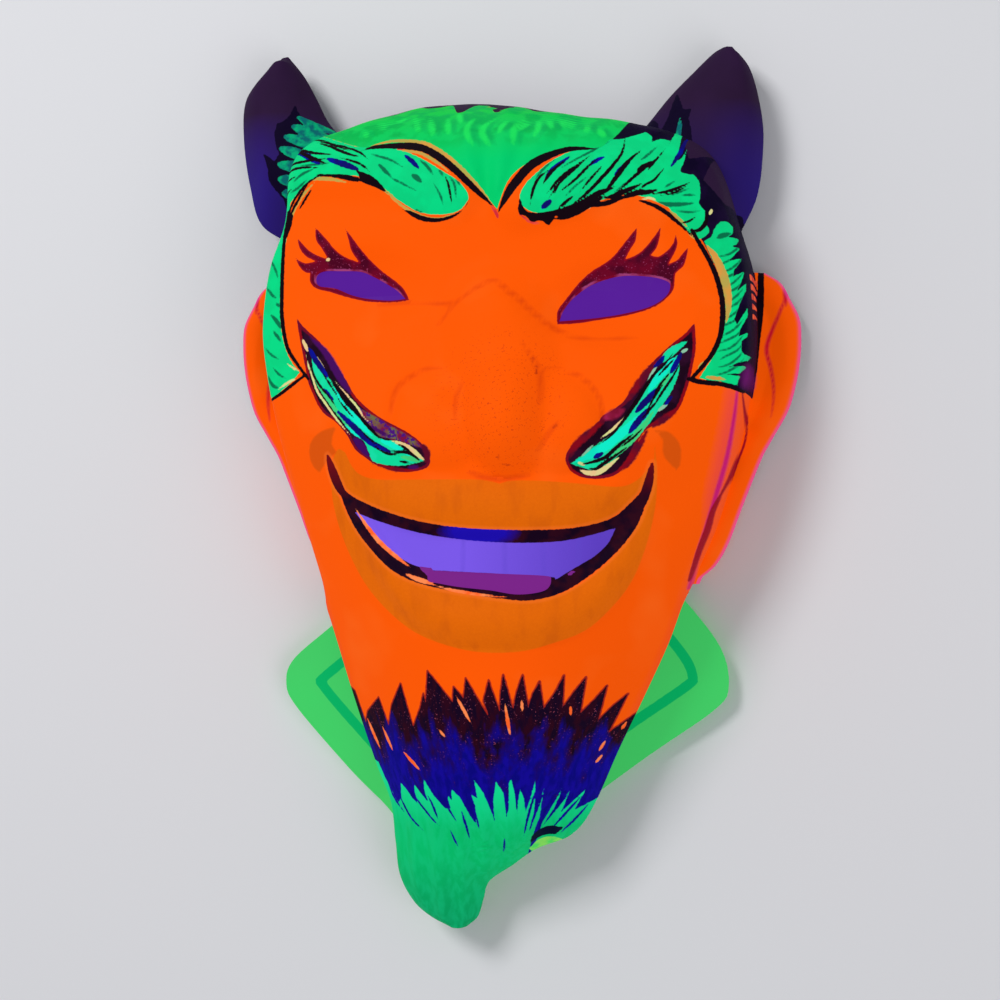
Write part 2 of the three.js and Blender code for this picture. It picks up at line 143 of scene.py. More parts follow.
def fine_folds(x, y):
    """The low step across the bridge of the nose and the grooves round its wings."""
    below = arch_step(x) - y
    step = 1.8 * ease(0, 3.5, below) * (1 - ease(8, 32, below)) * ease(56, 26, abs(x - 3))
    groove = np.max([ridge(x, y, *line, 3) for line in (
        (15, 39, 26, 39), (26, 39, 35, 31), (35, 31, 39, 22), (-26, 38, -33, 32),
        (-33, 32, -34, 22), (17.5, 36, 18.5, 16))], axis=0)
    return step - 0.7 * groove


def mouth(x, y):
    """The swell of both lips, with the teeth sunk between them."""
    ends = 1 - ease(34, 56, abs(x - 2))
    top = -14 + 22 * abs((x - 1) / 54) ** 4
    bottom = -37.5 + 40 * abs((x - 3) / 54) ** 3
    chin = -55.5 + 52 * abs((x - 3) / 57) ** 3.2
    teeth = -2.5 * ease(0, 5, np.minimum(top - y, y - bottom)) * ends
    lower = np.clip((y - chin) / (bottom - chin + 1e-6), 0, 1)
    upper = np.clip((y - top) / (3 - top + 1e-6), 0, 1)
    return (teeth + 3.6 * np.sin(np.pi * lower) * ends
            + 2.2 * np.sin(np.pi * upper) * (1 - ease(38, 46, abs(x - 2))))


def hair(x, y):
    """Low waves over the cap and the goatee."""
    angle = np.arctan2(y - 66, x)
    return (ease(0, 6, y - hair_line(x)) * 1.2 * (1 + np.sin(angle * 26))
            + ease(-110, -122, y) * 0.9 * np.sin(2 * np.pi * x / 9))


def relief(x, y):
    """All that stands out from the plain face or lies sunk in it."""
    cheeks = 5 * np.maximum(dome(x, y, -45, 26, 30, 32, 2), dome(x, y, 49, 24, 30, 32, 2))
    sockets = 4.5 * np.maximum(dome(x, y, -47, 69, 27, 17, 1.6), dome(x, y, 43, 62, 27, 17, 1.6))
    brows = 4 * np.max([ridge(x, y, *line, 13) for line in (
        (-76, 113, -38, 111), (-38, 111, -14, 102), (10, 98, 40, 106), (40, 106, 76, 92))], axis=0)
    chin = 3 * dome(x, y, 2, -80, 36, 26, 2)
    crease = 4 * ridge(x, y, 19, -110, 9, -133, 4.5)
    folds = fine_folds(x, y)
    return nose(x, y) + mouth(x, y) + hair(x, y) + folds + cheeks - sockets + brows + chin - crease


def face_height(x, y, share=1.0):
    """The sheet's height at a place seen from the front; share is how far up its wall that is."""
    left, right = left_edge(y), right_edge(y)
    across = np.clip((2 * x - left - right) / (right - left), -1, 1)
    crown = fold(y) + (crest(y) - fold(y)) * (1 - abs(across) ** 2.2)
    front = crown + relief(x, y) * ease(0, 9, np.minimum(x - left, right - x))
    cap = np.clip((CAP_TOP - y) / 34, 0, 1)
    cap_share = (1 - (1 - cap) ** 2.2) ** (1 / 2.2)
    rim = ease(-30, -44, y) * (fold(y) - 2)
    return rim + (front - rim) * share * cap_share


# The front of the sheet is a grid: each row steps round the side wall, then runs over the
# face. Triangles that a painted edge crosses are split, so that the edge stays sharp, except
# for the layers whose edges are soft anyway.
ROWS = 160
WALL_STEPS = 8
FACE_STEPS = 112
COLUMNS = FACE_STEPS + 2 * WALL_STEPS
WALL_POWER = 3
SOFT_EDGED = {"shade", "curl_highlights", "curl_shade", "lens", "foot_shade", "tooth_groove_shade", "pits", "dimples"}
row_height = curve_through(
    (0, GOATEE_TIP), (2 / 56, -157.6), (6 / 56, -145), (12 / 56, -120), (44 / 56, 108),
    (50 / 56, 130), (54 / 56, 139.4), (1, CAP_TOP))


def face_point(spots):
    """Places on the sheet's outer side, from (row, column) spots on the grid."""
    row, column = spots.T
    y = row_height(row / ROWS)
    left, right = left_edge(y), right_edge(y)
    inset = np.minimum(wall_round(y), 0.42 * (right - left))
    from_end = np.minimum(column, COLUMNS - column)
    angle = np.clip(from_end / WALL_STEPS, 0, 1) * pi / 2
    climbed = inset * (1 - np.cos(angle) ** (2 / WALL_POWER))
    on_face = left + inset + (right - left - 2 * inset) * (column - WALL_STEPS) / FACE_STEPS
    x = np.where(from_end > WALL_STEPS, on_face,
                 np.where(column < COLUMNS / 2, left + climbed, right - climbed))
    z = face_height(x, y, np.sin(angle) ** (2 / WALL_POWER))
    return np.c_[x, y, np.where(row == 0, 0, z)]


def grid_faces(rows, columns):
    """Triangles of a grid of points, seen from above."""
    corner = np.arange(rows)[:, None] * (columns + 1) + np.arange(columns)
    a, b = corner.ravel(), corner.ravel() + 1
    c, d = b + columns + 1, a + columns + 1
    return np.vstack([np.c_[a, b, c], np.c_[a, c, d]])


def border(rows, columns, step=1):
    """The grid's border in order, as point numbers."""
    wide = columns + 1
    return np.concatenate([
        np.arange(0, columns, step), np.arange(0, rows, step) * wide + columns,
        rows * wide + np.arange(columns, 0, -step), np.arange(rows, 0, -step) * wide])


def split_at_edges(spots, faces, finest):
    """Halves the sides that are longer than finest where a painted edge is near."""
    place = face_point(spots)
    nearest = np.min([abs(edge) for name, edge in paint_edges(*place.T).items()
                      if name not in SOFT_EDGED], axis=0)
    sides = np.sort(np.vstack([faces[:, [0, 1]], faces[:, [1, 2]], faces[:, [2, 0]]]), axis=1)
    side, which, uses = np.unique(sides, axis=0, return_inverse=True, return_counts=True)
    long = np.linalg.norm(place[side[:, 0]] - place[side[:, 1]], axis=1)
    split = (long > finest) & (np.min(nearest[side], axis=1) < long / 2) & (uses == 2)
    middle = np.full(len(side), -1)
    middle[split] = len(spots) + np.arange(split.sum())
    spots = np.vstack([spots, spots[side[split]].mean(axis=1)])
    middles = middle[which.ravel()].reshape(3, -1).T
    count = (middles >= 0).sum(axis=1)
    made = [faces[count == 0]]
    for turn in range(3):
        face, mids = np.roll(faces, -turn, axis=1), np.roll(middles, -turn, axis=1)
        one = (count == 1) & (mids[:, 0] >= 0)
        two = (count == 2) & (mids[:, 2] < 0)
        (a, b, c), ab = face[one].T, mids[one, 0]
        made += [np.c_[a, ab, c], np.c_[ab, b, c]]
        (a, b, c), (ab, bc) = face[two].T, mids[two, :2].T
        made += [np.c_[ab, b, bc], np.c_[a, ab, bc], np.c_[a, bc, c]]
    (a, b, c), (ab, bc, ca) = faces[count == 3].T, middles[count == 3].T
    made += [np.c_[a, ab, ca], np.c_[ab, b, bc], np.c_[ca, bc, c], np.c_[ab, bc, ca]]
    return spots, np.vstack(made)


def closed_sheet(front, faces, rows, columns, behind):
    """A sheet's points, its triangles, and how many of these, the last, are its back. The back
    has half the grid's rows and columns, and a strip round the rim joins it to the front."""
    step = 2
    back = behind.reshape(rows + 1, columns + 1, 3)[::step, ::step].reshape(-1, 3)
    back_rows, back_columns = rows // step, columns // step
    rim = border(rows, columns)
    back_rim = len(front) + border(back_rows, back_columns)
    strip = []
    for i, here in enumerate(back_rim):
        after = back_rim[(i + 1) % len(back_rim)]
        run = [rim[(step * i + k) % len(rim)] for k in range(step + 1)]
        strip += [(run[0], here, run[1]), (run[1], here, after), (run[1], after, run[2])]
    back_faces = len(front) + grid_faces(back_rows, back_columns)[:, ::-1]
    return np.vstack([front, back]), np.vstack([faces, strip, back_faces]), len(back_faces)


def mesh_object(name, points, faces, back_count, finishes):
    """An object of these triangles. The last ones, its back, have the last finish."""
    mesh = bpy.data.meshes.new(name)
    mesh.from_pydata((points * MM).tolist(), [], faces.tolist())
    mesh.shade_smooth()
    for finish in finishes:
        mesh.materials.append(finish)
    is_back = np.arange(len(faces)) >= len(faces) - back_count
    mesh.polygons.foreach_set("material_index", (is_back * (len(finishes) - 1)).astype(np.int32))
    made = bpy.data.objects.new(name, mesh)
    bpy.context.collection.objects.link(made)
    return made


# What is painted on the sheet: closed areas, whose smooth sides meet in corners, and brush
# strokes that taper at both ends. Each is measured as a distance in millimetres.
REACH = 6
PARTS_OF_A_LEG = 5


def smooth(points, count=0):
    """Points along a smooth curve through the given ones: that many, or some for each leg."""
    p = np.array(points, float)
    t = np.linspace(0, len(p) - 1, count or PARTS_OF_A_LEG * (len(p) - 1) + 1)
    leg = np.clip(t.astype(int), 0, len(p) - 2)
    t = (t - leg)[:, None]
    p = np.vstack([2 * p[0] - p[1], p, 2 * p[-1] - p[-2]])
    a, b, c, d = (p[leg + k] for k in range(4))
    return b + 0.5 * t * (c - a + t * (2 * a - 5 * b + 4 * c - d + t * (3 * b - a - 3 * c + d)))


def measured(x, y, line, measure):
    """Runs measure on the places within reach of the line; the rest count as far outside."""
    low, high = line.min(axis=0) - REACH, line.max(axis=0) + REACH
    near = (x > low[0]) & (x < high[0]) & (y > low[1]) & (y < high[1])
    edge = np.full(x.shape, -float(REACH))
    if near.any():
        start, leg = line[:-1], np.diff(line, axis=0)
        from_x = x[near][:, None] - start[:, 0]
        from_y = y[near][:, None] - start[:, 1]
        t = np.clip((from_x * leg[:, 0] + from_y * leg[:, 1]) / (leg ** 2).sum(axis=1), 0, 1)
        away = np.hypot(from_x - t * leg[:, 0], from_y - t * leg[:, 1])
        edge[near] = measure(away, t, from_x, from_y, leg)
    return np.clip(edge, -REACH, REACH)


def area(x, y, *sides):
    """Distance into a closed outline. Each side ends where the next begins."""
    closed = [list(side) + [after[0]] for side, after in zip(sides, sides[1:] + sides[:1])]
    line = np.vstack([smooth(side, 0 if len(side) > 2 else 2)[:-1] for side in closed])
    line = np.vstack([line, line[:1]])

    def inside(away, t, from_x, from_y, leg):
        crosses = ((from_y >= 0) & (from_y < leg[:, 1])) | ((from_y < 0) & (from_y >= leg[:, 1]))
        rise = np.where(leg[:, 1] == 0, 1, leg[:, 1])
        left_of = crosses & (from_x < from_y * leg[:, 0] / rise)
        return away.min(axis=1) * np.where(left_of.sum(axis=1) % 2, 1, -1)
    return measured(x, y, line, inside)


def stroke(x, y, points, width, blunt=0.0):
    """Distance into a brush stroke along the points; blunt keeps some width at its ends."""
    line = smooth(points)
    along = np.linspace(0, 1, len(line))
    half = width / 2 * (blunt + (1 - blunt) * np.sin(pi * along) ** 0.7)

    def inside(away, t, from_x, from_y, leg):
        return (half[:-1] + (half[1:] - half[:-1]) * t - away).max(axis=1)
    return measured(x, y, line, inside)


def strokes(x, y, lines, blunt=0.0):
    """Distance into the nearest of several strokes, each with its own width."""
    return np.max([stroke(x, y, line, width, blunt) for width, line in lines], axis=0)


# The hair cap ends in a widow's peak between two arches of black line. Lighter curls stand
# in it as painted highlights, each with a stroke of painted shade beside it.
CAP = [[(-70, 128), (-60, 123.5), (-50, 119.5), (-45, 118.5), (-30, 119.5), (-16, 112.5),
        (-6, 103.5)],
       [(2, 94.5), (6.5, 105.5), (13.5, 111.5), (22.5, 115), (35.5, 116), (41, 121)],
       [(44, 126), (44, 150), (-70, 150)]]
ARCHES = [[[(-47.5, 117.5), (-41, 119.5), (-30, 120), (-23.5, 118), (-16, 113), (-7.5, 105)],
           [(2, 94.5), (-6, 100.5), (-13.5, 107.5), (-22, 114), (-28, 116.5), (-40.5, 117.8)]],
          [[(2, 93), (4.5, 100), (8, 106), (12.5, 111.5), (20, 115.2), (27.5, 116.8)],
           [(37, 115.5), (27.5, 115), (20.5, 112.5), (14, 108), (9, 101.5), (6, 97.5)]]]
CAP_CURLS = [
    [(-8.5, 129.5), (-10.5, 125.5), (-9.8, 121.5), (-7, 117)],
    [(-1.5, 129.5), (-4.8, 126), (-5.2, 123), (-3.5, 120), (-1.5, 117)],
    [(3.5, 127.5), (1.5, 125), (1, 122)],
    [(9, 129), (6.5, 125.5), (6, 123), (6.2, 120.5), (6.5, 117)], [(11, 127), (9, 125.5), (7, 123)],
    [(-15.5, 132), (-13, 127)], [(-19, 130), (-18, 126), (-16.8, 122.5)],
    [(-25.5, 130.5), (-23.5, 126), (-22.3, 121.5)], [(-31, 131), (-29, 127), (-27.5, 123.5)],
    [(13.5, 128.5), (14.2, 124.5), (13.2, 120.5)], [(17, 128.5), (19.5, 123.5)],
    [(21, 129), (23.5, 124.5)], [(26.2, 129), (25.3, 124)], [(-38, 129), (-34, 131)],
    [(-44, 130), (-41, 125.5)], [(-48.5, 126), (-46.7, 123)], [(31.2, 126), (31, 122)],
    [(35, 123.5), (37.5, 120.5)]]
CURL_WIDTH, CURL_SHADE_WIDTH, CURL_SHADE_SHIFT = 2.2, 2.0, 2.3

# Where the dark notches in the cap's rim stand, and how deep each is.
RIM_NOTCHES = [(-48, 0.35), (-41, 0.4), (-27, 0.55), (-15, 1.0), (-2, 0.9), (11, 0.6), (21, 0.55),
               (31, 0.45), (39, 0.4)]

# Each brow is a leaf of green, laid down in slanting strokes, that runs out over the temple
# in tufts and down the side as a sideburn. Round the tufts the sheet is painted night blue.
LEFT_BROW = [[(-100, 97), (-100, 150), (-70, 150)],
             [(-70, 128), (-60, 123.5), (-50, 119.5), (-43, 118.5), (-39, 119), (-33, 117),
              (-25.5, 113.5), (-17.5, 108.5), (-11.5, 104.5), (-8, 100), (-8.5, 97), (-12, 94)],
             [(-18, 93.2), (-25.5, 94.5), (-32.5, 98.5)],
             [(-38, 102.5), (-42.5, 107), (-46.5, 107.8), (-56.5, 109), (-64, 108.5),
              (-70, 105.5), (-75, 101.5)],
             [(-78, 97)]]
RIGHT_BROW = [[(10.5, 95.5), (10, 99), (12, 103), (16.5, 108), (20.5, 111.5), (25.5, 114.5),
               (31, 116), (36.5, 116.5)],
              [(39, 119.5), (43.5, 120), (47.5, 121.5)], [(51, 123), (53.2, 121)],
              [(53, 118.5), (56, 120.2)], [(59.5, 119.8), (59, 117.5)],
              [(60.5, 122), (60.5, 127)], [(61.6, 130.5), (63, 122), (62.5, 116)],
              [(61.5, 112), (63.5, 113)], [(65.3, 116.5), (64.5, 112), (63.5, 108)],
              [(68, 107), (69.8, 104), (70.2, 99), (69.8, 96.8)],
              [(71.8, 94), (72, 90), (73.3, 87.5), (71.5, 85.2), (68.5, 84.5)],
              [(66, 87), (64.5, 89), (61, 93), (59.5, 95), (55, 97), (51.5, 98.3), (47, 99),
               (42, 98.6), (36.5, 97), (31, 95.5), (23.5, 93.5), (18.5, 92.5), (13.5, 93.5)]]
FINGERS = [(79, 91), (81, 89.5), (81, 87), (79.5, 85.5), (83, 85.5), (82.5, 83.5), (80.5, 82.5),
           (83.5, 82), (82, 80), (79.5, 77.5), (84, 78.5), (83.5, 77), (81.5, 74.5), (81, 72),
           (85, 74), (84, 70.5), (82, 66.5), (85.5, 70), (85.5, 67.5), (83.5, 63), (81.5, 57.5),
           (82.5, 55.5), (86, 61.5), (86, 58.5), (83.5, 54), (83, 51.5), (86, 53), (86, 51.5),
           (84, 50), (84, 46.5), (85, 45.5), (87, 45), (86, 43.5), (82.5, 42.5), (79.5, 41),
           (85, 41.5), (85.5, 41), (83.5, 39), (78.5, 38.5), (83.5, 38), (82.5, 35.5)]
LEFT_SIDEBURN = [[(-75.5, 102)], [(-100, 102)], [(-100, 29)],
                 [(-81, 32.3), (-77, 35), (-73.5, 37.5)],
                 [(-70.5, 40.5), (-74, 44.5), (-76.8, 50.5), (-78.5, 59.5), (-78.5, 70),
                  (-77.5, 82.5), (-76, 92)]]
RIGHT_SIDEBURN = [[(71.5, 84), (74, 85.5), (75, 88), (77, 90.5)], *[[p] for p in FINGERS],
                  [(82.8, 34.8), (77.5, 36), (72, 36.6)],
                  [(70, 37.2), (72.5, 41.5), (75.8, 47), (77.8, 55.5), (78, 64), (76.5, 72.5),
                   (73, 80.5)]]
NIGHT = [[(33, 116)], [(36, 119)], [(34, 150)], [(100, 150)], [(100, 28)], [(83.8, 33)],
         [(77, 36)], [(72, 36)], [(78, 56)], [(77, 72)], [(71, 84)], [(64, 93)], [(56, 100)],
         [(46, 104)]]
RIGHT_SPLASH = [(38, 126.5), (44, 127.5), (48.5, 128.5), (49.5, 131), (51.5, 132), (53.5, 130),
                (54, 126.5), (55.5, 128.5), (57.5, 133.5), (58.5, 137.5), (60, 141.5), (61.8, 137),
                (62.5, 134.5), (65.5, 134.5), (64.5, 131), (65.5, 127.5), (66, 123), (64.5, 118),
                (66, 113), (69, 113.5), (74.5, 115), (73, 110.5), (71, 105.5), (75.5, 100.5),
                (78.5, 97), (83, 97), (84.5, 92), (84, 75.5), (50, 80), (38, 110)]
LEFT_BROW_STROKES = [
    (1.1, [(-67, 123), (-60.5, 120.5), (-55.5, 118), (-51, 116), (-47, 115)]),
    (1.3, [(-49, 110.5), (-46, 108), (-43.5, 106.5)]),
    (2.3, [(-47.5, 109.5), (-43.5, 107), (-40.5, 104.5), (-37.5, 102)]),
    (1.3, [(-64, 109.8), (-56, 108.5), (-50.5, 107), (-46.5, 106)]),
    (0.9, [(-16, 106.5), (-14.5, 102.5), (-13.5, 96.5)]),
    (1.1, [(-67, 107.5), (-71.5, 102.5), (-74.5, 98.5), (-75.5, 94.5)]),
    (1.6, [(-80, 123.5), (-69, 117.5), (-65, 115.5), (-60, 113.3)]),
    (0.9, [(-46.5, 118), (-43, 119), (-37, 119.6)]),
    (1.2, [(-83, 126), (-75, 121.5), (-66, 118.2), (-58, 116.8)]),
    (1.1, [(-84, 116.5), (-76, 115), (-67, 115.2), (-60, 115.5)]),
    (1.0, [(-84, 111), (-77, 112.3), (-70, 112.8), (-62, 112)]),
    (1.0, [(-75, 126.5), (-66, 124), (-58, 120.5), (-52, 117.8)]),
    (0.9, [(-60, 121.8), (-54, 119.5), (-48, 116.8), (-44, 113.5)]),
    (0.9, [(-56, 115.5), (-50, 113.5), (-46, 111.5), (-43, 108.8)]),
    (0.8, [(-83, 105.5), (-78, 108.5), (-72, 110)]), (0.8, [(-82, 100), (-78, 104), (-74, 106.3)])]
RIGHT_BROW_STROKES = [
    (1.1, [(20, 108), (16.5, 105), (14.5, 100.5), (13.5, 95)]),
    (1.3, [(25.5, 112), (20.5, 107), (17.5, 102)]), (1.1, [(28.5, 109.5), (23.5, 104.5), (19, 99)]),
    (1.0, [(33.5, 113.5), (28.5, 108), (23.5, 103), (19.5, 97)]),
    (1.3, [(44.2, 122), (43.8, 114.5), (41, 109), (36.5, 103.5), (31.5, 98.5), (25.5, 94)]),
    (1.7, [(50.3, 116), (46.5, 111.5), (44, 107.5), (41, 103), (37.5, 99)]),
    (1.2, [(59, 118), (55, 112), (52, 109), (49, 106), (45.5, 102.5), (42.5, 99.8)]),
    (1.8, [(54, 111.5), (51, 109), (49, 107.5)]),
    (1.0, [(58.3, 109.5), (55, 104.5), (52, 102.5), (50, 101)]),
    (1.1, [(67, 104.3), (63, 102), (59.5, 100.5), (53.5, 99)]),
    (1.1, [(37, 112.5), (33.5, 109.5), (30.5, 106), (27.5, 103), (23, 99.5)]),
    (1.1, [(28.5, 98.8), (25.5, 96.5), (23, 94.5)]),
    (1.5, [(72.5, 94.5), (72.3, 91), (71.5, 89), (69.5, 87.5), (66, 87.2)]),
    (2.4, [(20.5, 91), (25.5, 91.8), (29, 93.5), (32.5, 95.5), (35.5, 97), (38.5, 98.8)]),
    (1.8, [(37, 97.8), (41, 98.5), (44, 99.7), (47, 101), (51, 103)]),
    (2.0, [(43.5, 98), (47, 99), (50, 99.8), (53, 100), (56.5, 101)]),
    (1.5, [(49, 97.4), (52, 96.6), (55, 95.5), (58.5, 93.5), (61, 91.5), (64.5, 88.5),
           (68.5, 84.5)]),
    (1.7, [(30, 94.6), (35, 95.6), (39.5, 96.4), (43, 97.7), (48, 98.6)]),
    (0.9, [(31, 111.5), (27, 107.5), (23.5, 103), (21.5, 98.5)]),
    (0.9, [(38, 109.5), (34, 104.5), (30, 99.5)]),
    (0.9, [(57, 115), (54.5, 111), (52.5, 107.5)]), (0.8, [(66, 102.8), (61.5, 100), (57, 98.8)]),
    (0.8, [(69, 92), (66, 90.2), (63.5, 90)])]
# Dark green strokes along the edges of the strands, in the brows here and with the sideburn strokes
# below: painted shade.
STRAND_SHADE_STROKES = [
    (0.9, [(-72, 113.5), (-65, 113.5), (-59, 113.5)]),
    (1.4, [(-40.5, 112), (-38, 109.5), (-35, 106.5)]),
    (0.8, [(-35.5, 106.5), (-32.5, 105), (-26, 101.5)]),
    (0.9, [(-44, 116), (-40, 114.5), (-36, 113), (-31, 110)]),
    (1.1, [(-25.5, 112.5), (-22.5, 110), (-20, 106.5)]),
    (1.9, [(-28, 107.3), (-26, 106), (-24, 104.2)]),
    (0.9, [(-18.5, 109), (-16.5, 106)]), (0.9, [(-14.5, 106), (-12.5, 103), (-12, 98.5)]),
    (0.8, [(-12.5, 106), (-10.5, 102.5)]), (0.8, [(-27.5, 95.7), (-23.5, 93.8)]),
    (1.0, [(-74, 108), (-69.5, 110.5), (-65, 112)]),
    (0.9, [(-75.5, 104.5), (-71.5, 106), (-67.5, 108.5)]),
    (0.8, [(-34, 117.5), (-29, 116.5), (-25, 114.8)]),
    (0.7, [(-20, 104), (-17.5, 99.5), (-16.5, 96)]),
    (1.6, [(69, 96.8), (63.5, 96), (58, 96), (54.5, 96.7)]),
    (0.9, [(69, 99.5), (66.5, 99.5), (63.5, 99)]),
    (0.8, [(33, 105.3), (29, 102), (25.5, 98.5)]), (0.8, [(70.5, 94), (66, 93.5), (61, 94)]),
    (1.0, [(40, 119.5), (33, 114.5), (23, 108)]), (1.0, [(55.5, 117.5), (52, 113.5), (50, 111.5)]),
    (0.9, [(48, 105), (44, 101.5), (41.5, 99.8)]), (0.9, [(21.5, 112), (17.5, 108), (15, 104)]),
    (0.8, [(62, 104.5), (58, 101.5)]), (0.8, [(66.5, 101.8), (60, 98.8)])]
BROW_LINES = [
    [[(-47.8, 109.3), (-44, 107.8), (-41, 105.3), (-37, 101.5)],
     [(-38, 103), (-40.5, 103.3), (-43.5, 104.6), (-46.5, 106)]],
    [[(-32, 96), (-27, 92.5), (-21.5, 91), (-15.5, 91.5), (-10.5, 94)],
     [(-7.5, 98.5), (-9, 95.5), (-12.5, 93.5), (-18, 92.2), (-23.5, 93), (-28.5, 95)]],
    [[(10, 98), (12, 93.8), (16, 93), (20, 93.5), (24, 94.5), (30, 96.8), (36.5, 100.5)],
     [(43, 102), (37, 98.6), (33.5, 96.3), (28.5, 94.3), (24, 91.2), (22, 92), (19.5, 89),
      (17, 90.5), (14, 90), (12, 91.8), (9.5, 93)]]]
DARK_LINES = [
    (1.1, [(-62.5, 109.2), (-55.5, 108.7), (-50, 107.6), (-45.5, 106)]),
    (0.9, [(-62, 109.7), (-67.5, 107.2), (-71.5, 104.2), (-74.5, 101), (-76.2, 96.5), (-76.5, 90)]),
    (0.9, [(-71.5, 99), (-69, 102), (-66.5, 104.5)]),
    (2.0, [(-74.8, 96.5), (-76, 92.5), (-77.5, 88)]),
    (1.6, [(-76.5, 98), (-77.4, 90), (-77.8, 80), (-78, 70), (-77.8, 60), (-75.8, 50), (-72, 44),
           (-67, 38)]),
    (1.3, [(-84, 30.5), (-78, 33.5), (-73.5, 36.3), (-68, 39.7)]),
    (1.9, [(67.5, 87.5), (69.5, 83.8), (72.4, 79), (74.8, 74), (76.6, 68.5), (77.6, 63), (77.6, 57),
           (76.8, 51.5), (74.5, 46), (71.3, 41.5), (67.5, 37)]),
    (1.7, [(66, 36.8), (69, 36), (73, 35.5), (78, 35), (84.5, 32.8)])]
SIDEBURN_STROKES = [
    *[(0.8, [(74.5 + i % 3, y), (78.5 + i % 2, y + 1.2), (82.5, y + 3.4), (84.8, y + 6.2)])
      for i, y in enumerate(np.arange(38, 80, 2.7))],
    (1.2, [(-80.5, 65.5), (-78.5, 64)]), (1.1, [(-85, 72), (-82, 68.5), (-80, 67)]),
    (1.0, [(-84, 82), (-81, 78), (-79.5, 74)]), (1.1, [(-83, 91), (-80, 86)]),
    (0.9, [(-85, 50), (-82, 47), (-79, 45.5)]), (0.9, [(-82, 43), (-79, 40), (-76, 38.5)]),
    (1.6, [(-82.5, 61.5), (-80, 59), (-78, 56)]), (1.3, [(-81.5, 55.8), (-78, 51.5)]),
    (1.4, [(-84, 40), (-82, 36.5), (-79, 35)]), (1.8, [(80.5, 87), (78, 86), (75.5, 85)])]
DARK_BLUE = [
    (2.4, [(-60, 115.2), (-55.5, 113.5), (-52, 112), (-48, 110.3)]),
    (2.4, [(-79, 122.5), (-70, 118), (-66.5, 115.8), (-63, 113.8)]),
    (1.7, [(-31, 114.5), (-28, 112), (-25.5, 109.5)]), (1.8, [(26, 112.5), (21, 108), (18.5, 104)]),
    (1.6, [(37.8, 112.3), (35.5, 111), (33, 109)]), (1.9, [(46.5, 111), (44, 108), (42, 105.5)]),
    (2.0, [(20.5, 97), (17.5, 94.5)]), (1.5, [(65, 121), (63, 115), (60.3, 110)]),
    (2.3, [(-54, 26), (-50.5, 23), (-47, 20), (-44, 17.3), (-41, 15), (-38, 13.5), (-34.5, 12)]),
    (2.2, [(-67, 48.8), (-64.5, 45), (-62, 42), (-59, 38.3)]),
    (1.5, [(-60.3, 34.3), (-56.2, 30.2)]),
    (2.3, [(56.5, 33.3), (52.8, 28.9), (49.5, 25.2)]),
    (2.3, [(54, 26.6), (50.6, 22.5), (47.3, 18.2)]),
    (1.8, [(35.6, 9.8), (38.4, 11.2)]), (1.6, [(55, 40.5), (57, 42.5), (58.3, 44.5)]),
    (1.8, [(60.6, 38.7), (62, 41.5), (63.8, 45.5)]), (1.3, [(58.8, 27.8), (61, 30.5)]),
    (2.6, [(-11, -16.5), (-3, -17), (6, -16.8)])]

# A cream wash has dried along the edges of the paint, and is tan where it ran over the orange.
TAN = [
    (1.6, [(-45.5, 118.8), (-40, 120.4), (-34.5, 120.9), (-26, 119.6), (-20.5, 116.9), (-13, 111.2),
           (-5.5, 103.7), (1, 95.3)]),
    (1.3, [(-34, 117), (-30, 116.3), (-25.5, 115.2), (-19, 111.2), (-13.5, 106.5)]),
    (1.2, [(-38, 103), (-33.5, 98.3), (-26, 93.6), (-18, 91.9), (-10.5, 94.7)]),
    (1.3, [(-67, 107.7), (-62.5, 108.2), (-57.5, 107.5), (-51, 105.8)]),
    (1.3, [(-65, 107), (-69, 104), (-72, 101.3), (-74, 98), (-75.6, 92.5)]),
    (0.9, [(-43, 106.5), (-38, 102.5), (-34, 99.5)]),
    (3.0, [(71.8, 83), (75, 79), (77.5, 73.5), (79, 68), (79.6, 62), (78.8, 56)]),
    (1.0, [(69.3, 40), (71.5, 43)]), (1.3, [(71.5, 37.6), (75, 37.2), (79, 36.8)]),
    (1.0, [(59.5, 94.3), (62, 92.3), (64.5, 90), (66.3, 88)]), (1.0, [(66, 86.9), (69, 84.2)]),
    (1.0, [(52.5, 34.5), (50.5, 30.5), (49, 28)]),
    (1.5, [(48.5, 27), (45.5, 24), (43, 20.7), (40.5, 18), (37.5, 15.5)])]
CREAM = [
    (1.4, [(-69.8, 52.5), (-68.5, 50), (-67.2, 47.5)]),
    (0.9, [(-68.2, 47), (-67, 42.5), (-65, 38), (-63, 33.5), (-59.5, 29.3), (-56, 25), (-52, 20.7),
           (-48, 16.7)]),
    (0.8, [(-56, 37), (-52.5, 33.5), (-49.5, 30.5), (-46.5, 27.5), (-44, 24), (-41.2, 21.7)]),
    (2.0, [(-34, 15.8), (-29, 14), (-25, 11.5), (-21.7, 8.8)]),
    (0.7, [(-64.2, 46.3), (-62.5, 44), (-60, 41)]),
    (1.9, [(44, 10), (40, 6.8), (36.5, 4.8), (33, 4.7), (30.6, 5.8)]),
    (1.1, [(30, 8.2), (32.5, 7.2)]),
    (1.0, [(47.9, 25.6), (44.9, 22.2), (41.6, 19.1), (37.5, 16)]),
    (0.9, [(50.5, 97.4), (53.5, 98), (56, 97)]), (0.9, [(32.6, 94.2), (34.3, 95.8), (35.3, 96.8)]),
    (1.1, [(73.3, 92.7), (74.2, 94.8)]), (0.9, [(-80.3, 34.4), (-75.5, 37), (-71.3, 38.6)]),
    (0.8, [(-76, 44), (-73, 42), (-70.5, 41)]), (1.1, [(-60.8, 79.7), (-59.3, 80.2)])]
PALE_GREEN = [(0.9, [(56.3, 41.5), (54.5, 38.5), (52.8, 35)]), (1.2, [(63.7, 45.7), (66.2, 47.2)]),
              (1.2, [(56.2, 25.2), (59.8, 28.2)]), (0.8, [(31.2, 9.7), (33.5, 12), (35.7, 14.2)])]
